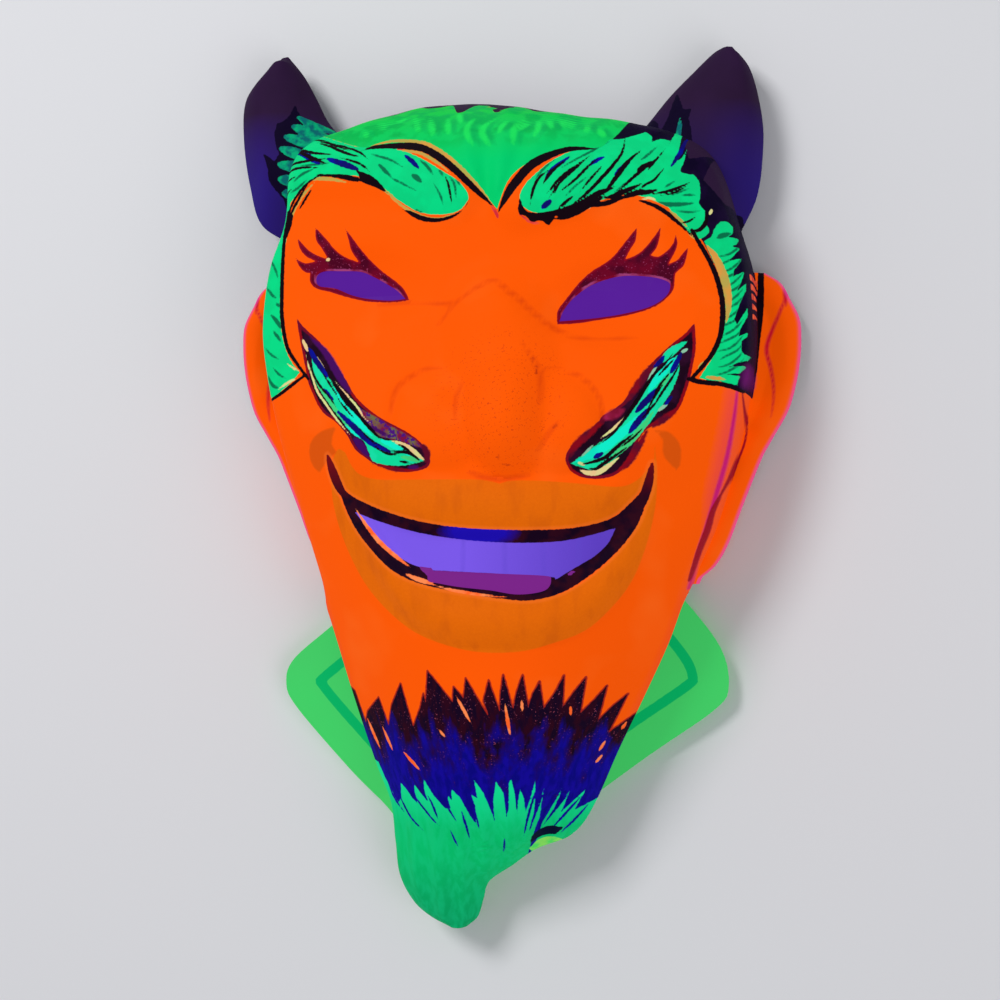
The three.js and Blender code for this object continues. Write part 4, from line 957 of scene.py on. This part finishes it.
# The orange of the face, its soft shades, and the wall and ears with their lines.
colour = coat("#ff5a00", large, "#fc5804")
colour = coat(colour, patches(30, 0.55, 0.75), "#ff6a1c", cover=0.5)
colour = coat(colour, mask_of("shade", 0.3, 0.8), "#de4406", cover=0.8)
colour = coat(colour, worn, "#cf3d0a", cover=patches(0.8, 0.6, 0.66, 3.0, most=0.7))
# Painted shade high on the side walls, near the rim.
colour = coat(colour, wall, "#f4501e")
# On the right wall, turned from the light: a patch, a line along the fold and a dark red line at its
# foot, all painted shade.
colour = coat(colour, mask_of("lens", 1.0, 2.0), "#e23a50", cover=0.5)
colour = coat(colour, mask_of("fold_shade", 0.3, 0.4), "#c81a72")
colour = coat(colour, mask_of("crease", 0.3, 0.2), "#9a0c22")
colour = coat(colour, mask_of("helix", 0.3, 0.5), "#c8142c")
# A pink painted highlight along the ears' trimmed edges.
colour = coat(colour, edge_highlight, "#ee4fb0", cover=0.65)

lip_brown = coat("#e86a04", fine, "#dc6206")
lip_brown = coat(lip_brown, patches(5, 0.5, 0.7, 3.0, 4.0), "#cf5a08", cover=0.5)
colour = coat(colour, mask_of("lips", 0.2, 0.25), lip_brown)
colour = coat(colour, mask_of("dimples", 0.2, 0.4), "#dd5408", "#d65008", large)
colour = coat(colour, mask_of("pits", 1.4, 0.3), "#b8320a", cover=0.8)

# The night blue at the temples, and the greens of the cap, the brows and the sideburns.
colour = coat(colour, mask_of("night"), "#0b0320", "#14052a", patchy)
colour = coat(colour, mask_of("plum"), "#25142c", "#301a3e", large)
colour = coat(colour, mask_of("hatch", 0.4), "#f4603c", "#c83c34", patchy)
cap_green = coat("#00cc6c", fade(112, 138), "#14c842")
cap_green = coat(cap_green, patchy, "#04b060", "#08b83c", large, fade(116, 124))
colour = coat(colour, mask_of("cap", 0.3), cap_green)
# Painted shade beside each curl, then the curls themselves as painted highlights.
colour = coat(colour, mask_of("curl_shade", 0.8, 0.6), "#04a656", cover=0.55)
colour = coat(colour, mask_of("curl_highlights", 0.8, 0.5), "#1ee65e", cover=0.75)
hair_green = coat("#04d984", patchy, "#06d07e")
# The green is painted darker on the side walls: painted shade.
hair_green = coat(hair_green, add(tree, "MapRange", {0: wall, 2: 0.6}).outputs[0], "#12ac7c")
colour = coat(colour, mask_of("hair", 0.6), hair_green)
# Dark green painted shade along the edges of the hair strands.
colour = coat(colour, mask_of("strand_shade", 0.6, 0.2), "#06704a")
# A dark magenta painted shade at the foot of the right wall.
colour = coat(colour, mask_of("foot_shade", 1.0, 1.4), "#7a1078", cover=0.65)
colour = coat(colour, mask_of("tan", 0.7), "#b8a44c", "#d89a44", patchy)
colour = coat(colour, mask_of("pink", 0.8), "#f0503c", "#d02c38", patchy)

# The lids with their lashes, then the moustache from its dark leaves to its fine hairs.
lid = coat("#6a0424", patchy, "#4a0320")
lid = coat(lid, specks, "#8a3058")
colour = coat(colour, mask_of("lid", 0.35), "#8a0822")
colour = coat(colour, mask_of("lid", 0.5, 0.2, 0.5), lid)
lid_rim = coat("#7a0424", mask_of("lid", 0.8, 0.3, 1.4), "#a04078", cover=patchy)
colour = coat(colour, mask_of("eye", 0.8, 0.2, -0.6), lid_rim)

INK = "#12040e"
colour = coat(colour, mask_of("moustache", 0.4), "#8c0618", "#6e0828", patchy)
colour = coat(colour, mask_of("moustache", 0.7, 0.2, 1.0), "#1c0418", "#2c0826", patchy)
colour = coat(colour, mask_of("maroon", 1.2, 0.3), "#86061a", "#5e0a26", patchy)
colour = coat(colour, mask_of("rose", 1.0, 0.5), "#9a1c4c", "#7c0e30", patchy)
mottle = coat("#6c6a44", patchy, "#7a1040")
mottle = coat(mottle, patches(1.2, 0.5, 0.56), "#4a1478")
colour = coat(colour, mask_of("mottled", 1.0, 0.2), mottle)
colour = coat(colour, mask_of("violet", 0.8, 0.3), "#34085a", "#4e0a5c", large)
colour = coat(colour, mask_of("bristles", 0.9), "#0ad898", "#16dca4", patchy)
colour = coat(colour, mask_of("aqua", 0.9), "#0cecc8")
colour = coat(colour, mask_of("lime", 0.9), "#3ed07c")
colour = coat(colour, mask_of("cream", 0.6), "#d6dc90", "#ecc48c", patchy)
colour = coat(colour, mask_of("pale_green", 0.6), "#8cc4a4")
colour = coat(colour, mask_of("blue", 0.7), "#040f94", "#0c0a68", patchy)
colour = coat(colour, mask_of("ink", 0.6), INK)
colour = coat(colour, mask_of("ear_line", 0.4), INK)

mouth_line = coat("#16031a", patchy, "#2c0618")
mouth_line = coat(mouth_line, fade(-4, 9), "#700814")
colour = coat(colour, mask_of("mouth_halo", 0.4, 0.4), "#ff7428", cover=0.35)
colour = coat(colour, mask_of("mouth", 0.6), mouth_line)
colour = coat(colour, mask_of("mouth", 0.2), "#1c0cae", cover=mask_of("mouth_blue", 0.8, 1.0))
lavender = coat("#7a58e8", fade(-10, 36, "X"), "#5f40c4")
# Painted shade in the grooves between the teeth.
lavender = coat(lavender, mask_of("tooth_groove_shade", 0.5, 0.8), "#6248cc", cover=0.5)
colour = coat(colour, mask_of("teeth", 0.35), lavender)

# The beard's brown runs down into its blue in streaks as long as this, in millimetres.
RUN_LENGTH = 60
BLUE_STARTS, BLUE_FULL = -84, -100
dark_brown = coat("#14031e", streaky, "#2a0418")
dark_brown = coat(dark_brown, specks, "#80384c", cover=patchy)
deep_blue = coat("#120694", streaky, "#08047c")
up = add(tree, "SeparateXYZ", {0: place}).outputs["Y"]
run_down = {0: shake(5, 3.0, 5.0), 1: -RUN_LENGTH * MM, 2: up}
fallen = add(tree, "Math", run_down, operation="MULTIPLY_ADD").outputs[0]
to_blue = add(tree, "MapRange", {0: fallen, 1: BLUE_STARTS * MM, 2: BLUE_FULL * MM}).outputs[0]
colour = coat(colour, mask_of("beard", 0.5, 0.15, -0.45), "#a0241a")
colour = coat(colour, mask_of("beard"), dark_brown, deep_blue, to_blue)
colour = coat(colour, mask_of("slivers", 0.6), "#ff6426", "#ff8a50", patchy)
# The goatee is painted darker down towards its tip, as painted shade where it turns down away from the
# light.
goatee = coat("#0cdc90", fade(-106, -122), "#04bc6a")
goatee = coat(goatee, fade(-132, -158), "#049a5c")
goatee = coat(goatee, streaky, "#1ed898", cover=0.2)
colour = coat(colour, mask_of("goatee", 0.6), goatee)
# Painted shade in the hollow over the goatee's small tuft.
colour = coat(colour, mask_of("hollow"), "#06102c")
colour = coat(colour, mask_of("tip", 0.4), "#4edc62", "#8ae060", patchy)

grain = add(tree, "Math", {0: fine, 1: middling}, operation="ADD").outputs[0]
lay_on(colour, LIT_SHARE, grain, 0.25, 0.2)
matt = add(tree, "MapRange", {0: fine, 3: 0.6, 4: 0.8}).outputs[0]
tree.links.new(matt, shader.inputs["Roughness"])

# The sheet's own plastic shows at the back: bone white, with the soft gloss of drawn sheet.
bare_sheet, tree, shader = finish_for("bare_drawn_sheet", 0.38, 1.5, shine=0.5)
place = add(tree, "TexCoord").outputs["Object"]
colour = coat("#e8dccb", cloud(30, 3.0), "#d9c8b4")
tree.links.new(colour, shader.inputs["Base Color"])

# The back follows the front at the sheet's thickness, and lies a little deeper behind the nose.
# Sides that a painted edge crosses are halved twice, down to the finest lengths.
NOSE_BACK = 2
FINEST_SIDES = (1.2, 0.7)
SHARP_ANGLE = radians(50)


def normals_of(place, faces):
    """The direction that the sheet faces at each point."""
    normal = np.zeros_like(place)
    corner = place[faces]
    flat = np.cross(corner[:, 1] - corner[:, 0], corner[:, 2] - corner[:, 0])
    for k in range(3):
        np.add.at(normal, faces[:, k], flat)
    return normal / np.linalg.norm(normal, axis=1)[:, None]


row, column = np.mgrid[0:ROWS + 1, 0:COLUMNS + 1]
spots = np.c_[row.ravel(), column.ravel()].astype(float)
faces = grid_faces(ROWS, COLUMNS)
front = face_point(spots)
behind = front - SHEET * normals_of(front, faces)
behind[:, 2] -= NOSE_BACK * dome(behind[:, 0], behind[:, 1], 3, 10, 32, 26, 1)
behind[:, 2] = np.where(front[:, 2] < 2, front[:, 2], behind[:, 2])
for finest in FINEST_SIDES:
    spots, faces = split_at_edges(spots, faces, finest)
shell = mesh_object("mask_shell_painted", *closed_sheet(
    face_point(spots), faces, ROWS, COLUMNS, behind), [painted_sheet, bare_sheet])

# An ear is a flat flange at the foot of the side wall, with a rolled rim and a hollow.
EAR_ROWS, EAR_COLUMNS = 80, 24
EAR_LOBE, EAR_TOP = -35, 77.5
EAR_LAP = 0.8
EAR_FLOOR = 5.5
ROLL_HEIGHT, ROLL_WIDTH = 4, 11
ear_edge = curve_through(
    (EAR_LOBE, 64.5), (-32, 69), (-28, 73.5), (-20, 78), (-8, 82.5), (3, 86.8), (12, 90.5),
    (19, 94.5), (28, 99.5), (38, 102.3), (46, 103.6), (54, 104), (61, 103.4),
    (68, 100), (74, 96.5), (EAR_TOP, 91))


def ear(side):
    """The ear of the right side, or of the left where side is -1."""
    row, column = np.mgrid[0:EAR_ROWS + 1, 0:EAR_COLUMNS + 1]
    across = (column if side > 0 else EAR_COLUMNS - column).ravel() / EAR_COLUMNS
    y = EAR_LOBE + (EAR_TOP - EAR_LOBE) * (0.5 - 0.5 * np.cos(pi * row.ravel() / EAR_ROWS))
    inner = (right_edge(y) if side > 0 else -left_edge(y)) - EAR_LAP
    outer = np.maximum(ear_edge(y), inner + 3)
    x = inner + (outer - inner) * across
    inward = np.minimum(1, (outer - x) / ROLL_WIDTH)
    roll = ROLL_HEIGHT * np.sin(pi * (0.12 + 0.88 * inward))
    hollow = 1.5 * dome(x, y, 90, 42, 9, 26, 1)
    top = np.c_[side * x, y, EAR_FLOOR + roll - hollow]
    return mesh_object("ear", *closed_sheet(
        top, grid_faces(EAR_ROWS, EAR_COLUMNS), EAR_ROWS, EAR_COLUMNS, top - (0, 0, SHEET)),
        [painted_sheet, bare_sheet])


# The eyes and the slot under the teeth are cut right through.
EYE_RIGHT = [(22.5, 56.5), (24, 60.5), (27, 64.5), (32, 68.5), (38, 71), (44.5, 72.3), (52.5, 72),
             (58, 70.8), (60, 69), (58.7, 65.5), (53.5, 62), (44.5, 59.5), (34.5, 57.8)]
EYE_LEFT = [(-31.5, 65.3), (-37.5, 65), (-46, 66), (-52, 67.5), (-58, 70), (-64, 71),
            (-65, 74), (-62.5, 76), (-56, 76), (-48.5, 75.5), (-44, 73.7), (-39.5, 71.3),
            (-35, 68.5)]
SLOT = [(-22, -30.5), (-20, -28.8), (-14, -28.8), (3.5, -29.5), (18.5, -30.2), (20.5, -31.5),
        (19.5, -34.5), (15.5, -36), (8.5, -36.5), (0, -35.2), (-10.5, -34.2), (-18, -33),
        (-21.5, -32.3)]
CUTTER_TOP = 120


def cutter(outline):
    """A plug taller than the mask, which cuts an opening of this outline."""
    loop = smooth(outline + outline[:1])[:-1]
    count = len(loop)
    place = np.vstack([np.c_[loop, np.zeros(count)], np.c_[loop, np.full(count, CUTTER_TOP)]])
    area_sign = np.sum(loop[:, 0] * np.roll(loop[:, 1], -1) - loop[:, 1] * np.roll(loop[:, 0], -1))
    order = list(range(count)) if area_sign > 0 else list(range(count))[::-1]
    sides = [(order[i], order[(i + 1) % count], order[(i + 1) % count] + count, order[i] + count)
             for i in range(count)]
    mesh = bpy.data.meshes.new("cutter")
    mesh.from_pydata((place * MM).tolist(), [], sides + [order[::-1], [i + count for i in order]])
    mesh.materials.append(painted_sheet)
    made = bpy.data.objects.new("cutter", mesh)
    bpy.context.collection.objects.link(made)
    return made


for operation, other in [("UNION", ear(1)), ("UNION", ear(-1)), ("DIFFERENCE", cutter(EYE_RIGHT)),
                         ("DIFFERENCE", cutter(EYE_LEFT)), ("DIFFERENCE", cutter(SLOT))]:
    cut = shell.modifiers.new(operation, "BOOLEAN")
    cut.operation, cut.object, cut.solver = operation, other, "MANIFOLD"
    whole = bpy.data.meshes.new_from_object(shell.evaluated_get(bpy.context.evaluated_depsgraph_get()))
    shell.modifiers.clear()
    shell.data = whole
    bpy.data.objects.remove(other)

# The finished sheet is kept inside the solids' box.
at = np.empty(len(shell.data.vertices) * 3)
shell.data.vertices.foreach_get("co", at)
at = np.clip(at.reshape(-1, 3), cad_low, cad_high)
shell.data.vertices.foreach_set("co", at.ravel())


def keep_layers(made, layers):
    """Keeps each layer's values on the object's points, where its material reads them."""
    for name, values in layers.items():
        attribute = made.data.attributes.new(name, "FLOAT", "POINT")
        attribute.data.foreach_set("value", values.astype(np.float32))


x, y, z = at.T / MM
layers = paint_edges(x, y, z)
layers["mouth_halo"] = layers["mouth"] + 1.0
layers["mouth_blue"] = 4 - np.hypot((x + 3.5) / 3, y + 15.5)
layers["eye"] = np.maximum(area(x, y, EYE_RIGHT), area(x, y, EYE_LEFT))
# Where the side walls, high up near the rim, get painted shade.
layers["wall"] = np.clip(1 - (from_rim(x, y) + 1) / 4, 0, 1) * ease(10.5, 14, z)
layers["worn"] = np.sqrt(dome(x, y, 4, 28, 26, 28, 1))
# Where the pink highlight is painted, along the ears' trimmed edges.
layers["edge_highlight"] = np.where(from_rim(x, y) < -1, ease(1.6, 0.2, ear_edge(y) - abs(x)), 0)
keep_layers(shell, layers)
shell.data.set_sharp_from_angle(angle=SHARP_ANGLE)
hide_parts("mask_shell")
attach(shell, "root")

# Each horn is a pointed leaf of the same sheet, arched over a hollow back, whose base
# follows the temple. Sprayed a dark plum; blue light is painted on it low down, most on the
# outer side, and it has a faint glow, also painted light.
HORN_ROWS, HORN_COLUMNS = 110, 70
HORN_LAP = 0.4
HORN_LIFT, HORN_ARCH = 13, 15
WALL_HEIGHT = 41
HORN_LIT_SHARE = 0.6
RIGHT_HORN = dict(side=1, inner=[(57, 141), (66, 150), (73, 156.5), (77.5, 158.7)],
                  outer=[(88.5, 105), (90.5, 121), (90, 134), (86, 150), (79.5, 158.5)],
                  base=(92, 129.5))
LEFT_HORN = dict(side=-1, inner=[(-70, 136), (-74, 144), (-79, 153), (-85, 160.5)],
                 outer=[(-95, 98), (-99.5, 112), (-102, 130), (-101, 145), (-93, 155),
                        (-87, 160.2)],
                 base=(90, 129.8))
LEFT_SPLASH = [(-60, 125), (-73.5, 127.5), (-75, 130), (-77, 134.5), (-78.5, 137.5), (-80, 141),
               (-81.5, 137), (-83.5, 134.5), (-86, 133.5), (-87, 130), (-86, 125), (-84.8, 122),
               (-86.5, 119.5), (-89.5, 121.8), (-91.5, 123), (-89.5, 117.5), (-89, 112.5),
               (-86.5, 109), (-83.5, 105.5), (-82, 98), (-60, 98)]
LEFT_TUFTS = [(4.2, [(-66, 127.5), (-74, 130), (-80, 132.5)]),
              (4.2, [(-68, 123), (-76, 126.5), (-82.5, 128.5)]),
              (4.2, [(-70, 119), (-78, 121.8), (-84, 124)]),
              (4.2, [(-72, 115), (-79, 117), (-84.5, 118.2)]),
              (4.2, [(-74, 110.5), (-80, 112), (-84.5, 112.8)]),
              (3.6, [(-76, 106), (-80, 107.3), (-83.5, 107.8)]),
              (3.0, [(-66, 131), (-73, 133), (-78.5, 136)])]
RIGHT_TUFTS = [(2.0, [(58, 117), (60.8, 124), (61.6, 131)]),
               (2.0, [(61, 112), (64.5, 115), (66.8, 117)]),
               (2.0, [(56, 116), (58.5, 119.5), (60, 121.5)])]
plum, tree, shader = finish_for("plum_sprayed_sheet", 0.75, 1.5, 0.3)
place = add(tree, "TexCoord").outputs["Object"]
waver = shake(1.5, 3.0)
across = add(tree, "SeparateXYZ", {0: place}).outputs["X"]
outward = add(tree, "Math", {0: across}, operation="ABSOLUTE").outputs[0]
outer_side = add(tree, "MapRange", {0: outward, 1: 70 * MM, 2: 92 * MM}).outputs[0]
# Blue light painted low on the horn, most on its outer side.
low_down = fade(138, 108)
colour = coat("#25142c", cloud(22, 3.0), "#351c44")
colour = coat(colour, low_down, "#36208e", cover=outer_side)
colour = coat(colour, low_down, "#22176a", cover=0.5)
colour = coat(colour, mask_of("splash", 1.0), "#0b0320", "#120628", cloud(3.0))
colour = coat(colour, mask_of("tufts", 0.8), "#04b47c", "#0a6c70", patches(3.0, 0.4, 0.6))
lay_on(colour, HORN_LIT_SHARE, cloud(0.8, 3.0), 0.2, 0.2)


def horn(name, node, side, inner, outer, base, splash, tufts):
    """A horn between its outer and inner edges, from the temple's curve up to its tip."""
    edge = right_edge if side > 0 else left_edge

    def temple(across):
        y = base[0] + (base[1] - base[0]) * np.sin(across * pi / 2)
        return np.stack([edge(y), y], axis=-1)
    up = np.linspace(0, 1, HORN_ROWS + 1)[:, None, None]
    across = np.linspace(0, 1, HORN_COLUMNS + 1)[None, :, None]
    low, high = temple(np.array(0.0)), temple(np.array(1.0))
    from_edge = smooth([low, *outer], HORN_ROWS + 1)[:, None]
    to_edge = smooth([high, *inner], HORN_ROWS + 1)[:, None]
    plan = from_edge + (to_edge - from_edge) * across
    plan = plan + (1 - up) ** 2 * (temple(across[..., 0]) - (low + (high - low) * across))
    arch = HORN_ARCH * (1 - abs(2 * across - 1) ** 2.4) * (1 - 0.55 * up) * ease(1, 0.88, up)
    steep = 1 - np.cbrt(np.clip(1 - ((HORN_LIFT + arch) / WALL_HEIGHT) ** 3, 0, 1))
    lap = wall_round(plan[..., 1:]) * steep + HORN_LAP
    plan = plan - (1 - up) ** 4 * lap * np.array([side, 1.0]) / np.sqrt(2)
    top = np.concatenate([plan, HORN_LIFT + arch], axis=2)
    if side > 0:
        top = top[:, ::-1]
    top = top.reshape(-1, 3)
    points, faces, back_count = closed_sheet(
        top, grid_faces(HORN_ROWS, HORN_COLUMNS), HORN_ROWS, HORN_COLUMNS, top - (0, 0, SHEET))
    made = mesh_object(name, points, faces, back_count, [plum])
    x, y, _ = points.T
    keep_layers(made, {"splash": area(x, y, *[[point] for point in splash]),
                       "tufts": strokes(x, y, tufts, 0.4)})
    made.data.set_sharp_from_angle(angle=SHARP_ANGLE)
    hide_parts(node)
    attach(made, "root")


horn("horn_left_painted", "horn_left", splash=LEFT_SPLASH, tufts=LEFT_TUFTS, **LEFT_HORN)
horn("horn_right_painted", "horn_right", splash=RIGHT_SPLASH, tufts=RIGHT_TUFTS, **RIGHT_HORN)

# The collar is one flat sheet of fluorescent green card, cut out and fixed behind the jaw,
# bent up in front to meet the goatee. It glows as the paint does, and has a darker stripe
# printed along its edge.
COLLAR_SHEET = 1.2
COLLAR_LIFT, COLLAR_BEND = 8, 8.5
COLLAR_EDGE = [(-60, -42), (-69, -51), (-84, -64), (-87, -73), (-83, -82), (-64, -103.3),
               (-54.5, -112.7), (-46.5, -120), (-40.5, -127), (-38, -139), (-31, -149),
               (-20, -149), (-9, -140), (17, -121.5), (48.5, -98), (73, -80.5), (78, -72),
               (75, -58), (62, -41), (54, -34)]
COLLAR_NECK = [(-50, -42), (-50, -60), (-44, -80), (-30, -98), (-8, -106), (14, -100),
               (32, -82), (44, -62), (47, -36)]
COLLAR_ROWS, COLLAR_COLUMNS = 24, 180
STRIPE_INSET, STRIPE_HALF = 13, 1.8
CLOSE_POINTS = 2000
STRIPE_POINTS = 400
leaf, tree, shader = finish_for("fluorescent_green_card", 0.65, 1.5, GLOW)
place = add(tree, "TexCoord").outputs["Object"]
waver = shake(2.0)
colour = coat("#46c866", cloud(30), "#40d468")
colour = coat(colour, mask_of("stripe", 0.3), "#04b464")
lay_on(colour, LIT_SHARE, cloud(0.6, 3.0), 0.15, 0.1)


def evenly(points, count):
    """Points at even distances along the smooth curve through the given ones."""
    line = smooth(points, CLOSE_POINTS)
    run = np.concatenate([[0], np.cumsum(np.linalg.norm(np.diff(line, axis=0), axis=1))])
    at = np.linspace(0, run[-1], count)
    return np.c_[np.interp(at, run, line[:, 0]), np.interp(at, run, line[:, 1])]


edge = evenly(COLLAR_EDGE, COLLAR_COLUMNS + 1)
neck = evenly(COLLAR_NECK, COLLAR_COLUMNS + 1)
inward = np.linspace(0, 1, COLLAR_ROWS + 1)[:, None, None]
plan = (edge + (neck - edge) * inward).reshape(-1, 2)
rise = COLLAR_LIFT + COLLAR_BEND * dome(plan[:, 0], plan[:, 1], -24, -148, 38, 46, 1.2)
top = np.c_[plan, rise]
points, faces, back_count = closed_sheet(
    top, grid_faces(COLLAR_ROWS, COLLAR_COLUMNS), COLLAR_ROWS, COLLAR_COLUMNS,
    top - (0, 0, COLLAR_SHEET))
collar = mesh_object("collar_painted", points, faces, back_count, [leaf])
outline = evenly(COLLAR_EDGE, STRIPE_POINTS)
far = np.array([np.hypot(*(outline - point).T).min() for point in points[:, :2]])
keep_layers(collar, {"stripe": STRIPE_HALF - abs(far - STRIPE_INSET)})
collar.data.set_sharp_from_angle(angle=SHARP_ANGLE)
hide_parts("collar")
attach(collar, "root")

# Behind the eyes and the slot lie three pieces of thin violet acetate film, fixed to the
# back of the sheet. Their finish is one even violet with hardly any gloss, given a glow as
# painted light, and the slot's film is painted a little redder, as light from the orange round it.
FILM_LIT_SHARE = 0.05
film, tree, shader = finish_for("violet_film", 0.4, 1.49, 0.97, shine=0.03)
place = add(tree, "TexCoord").outputs["Object"]
colour = coat("#541a92", cloud(25, 1.0), "#58209c")
# Redder low down, at the slot: painted light from the orange lips round it.
colour = coat(colour, fade(0, -10), "#7a2488")
lay_on(colour, FILM_LIT_SHARE)
for name in ("eye_film_left", "eye_film_right", "mouth_film"):
    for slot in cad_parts[name].material_slots:
        slot.material = film

# A pale table top in one matt tone, so wide that its edge isn't seen from above, and just under
# the mask's rim.
FLOOR_HALF = 3000
FLOOR_DROP = 0.3
corners = [(-FLOOR_HALF, -FLOOR_HALF, -FLOOR_DROP), (FLOOR_HALF, -FLOOR_HALF, -FLOOR_DROP),
           (FLOOR_HALF, FLOOR_HALF, -FLOOR_DROP), (-FLOOR_HALF, FLOOR_HALF, -FLOOR_DROP)]
table, tree, shader = finish_for("pale_matt_table", 0.7, 1.45)
shader.inputs["Base Color"].default_value = srgb("#d9d9dc")
floor = mesh_object("floor", np.array(corners), np.array([(0, 1, 2), (0, 2, 3)]), 0, [table])


# Two wide soft lamps, the stronger one from the upper left, and a pale room all round.
def lamp(name, location, size, watts):
    """A square lamp that faces the middle of the mask."""
    light = bpy.data.lights.new(name, "AREA")
    light.size, light.energy = size, watts
    made = bpy.data.objects.new(name, light)
    made.location = location
    made.rotation_euler = (-Vector(location)).to_track_quat("-Z", "Y").to_euler()
    bpy.context.collection.objects.link(made)


lamp("key_lamp", (-0.7, 0.8, 1.3), 0.5, 16)
lamp("fill_lamp", (0.9, -0.5, 1.2), 1.0, 5)
room = bpy.data.worlds.new("pale_room")
room.use_nodes = True
sky = room.node_tree.nodes["Background"].inputs
sky["Color"].default_value = srgb("#f2f4f8")
sky["Strength"].default_value = 0.45
bpy.context.scene.world = room

# The camera looks down on the mask, leaning 9 degrees to its right side. From there its lens
# gives 0.35 mm to a pixel.
CAMERA_FAR = 0.700
CAMERA_LEAN = radians(9)
CAMERA_AIM = Vector((0, -0.0045, 0.045))
camera = bpy.data.objects.new("camera", bpy.data.cameras.new("camera"))
camera.data.lens = 72
camera.data.sensor_width = 36
camera.location = CAMERA_AIM + CAMERA_FAR * Vector((sin(CAMERA_LEAN), 0, cos(CAMERA_LEAN)))
camera.rotation_euler = (0, CAMERA_LEAN, 0)
bpy.context.collection.objects.link(camera)
bpy.context.scene.camera = camera
bpy.context.scene.view_settings.view_transform = "Standard"
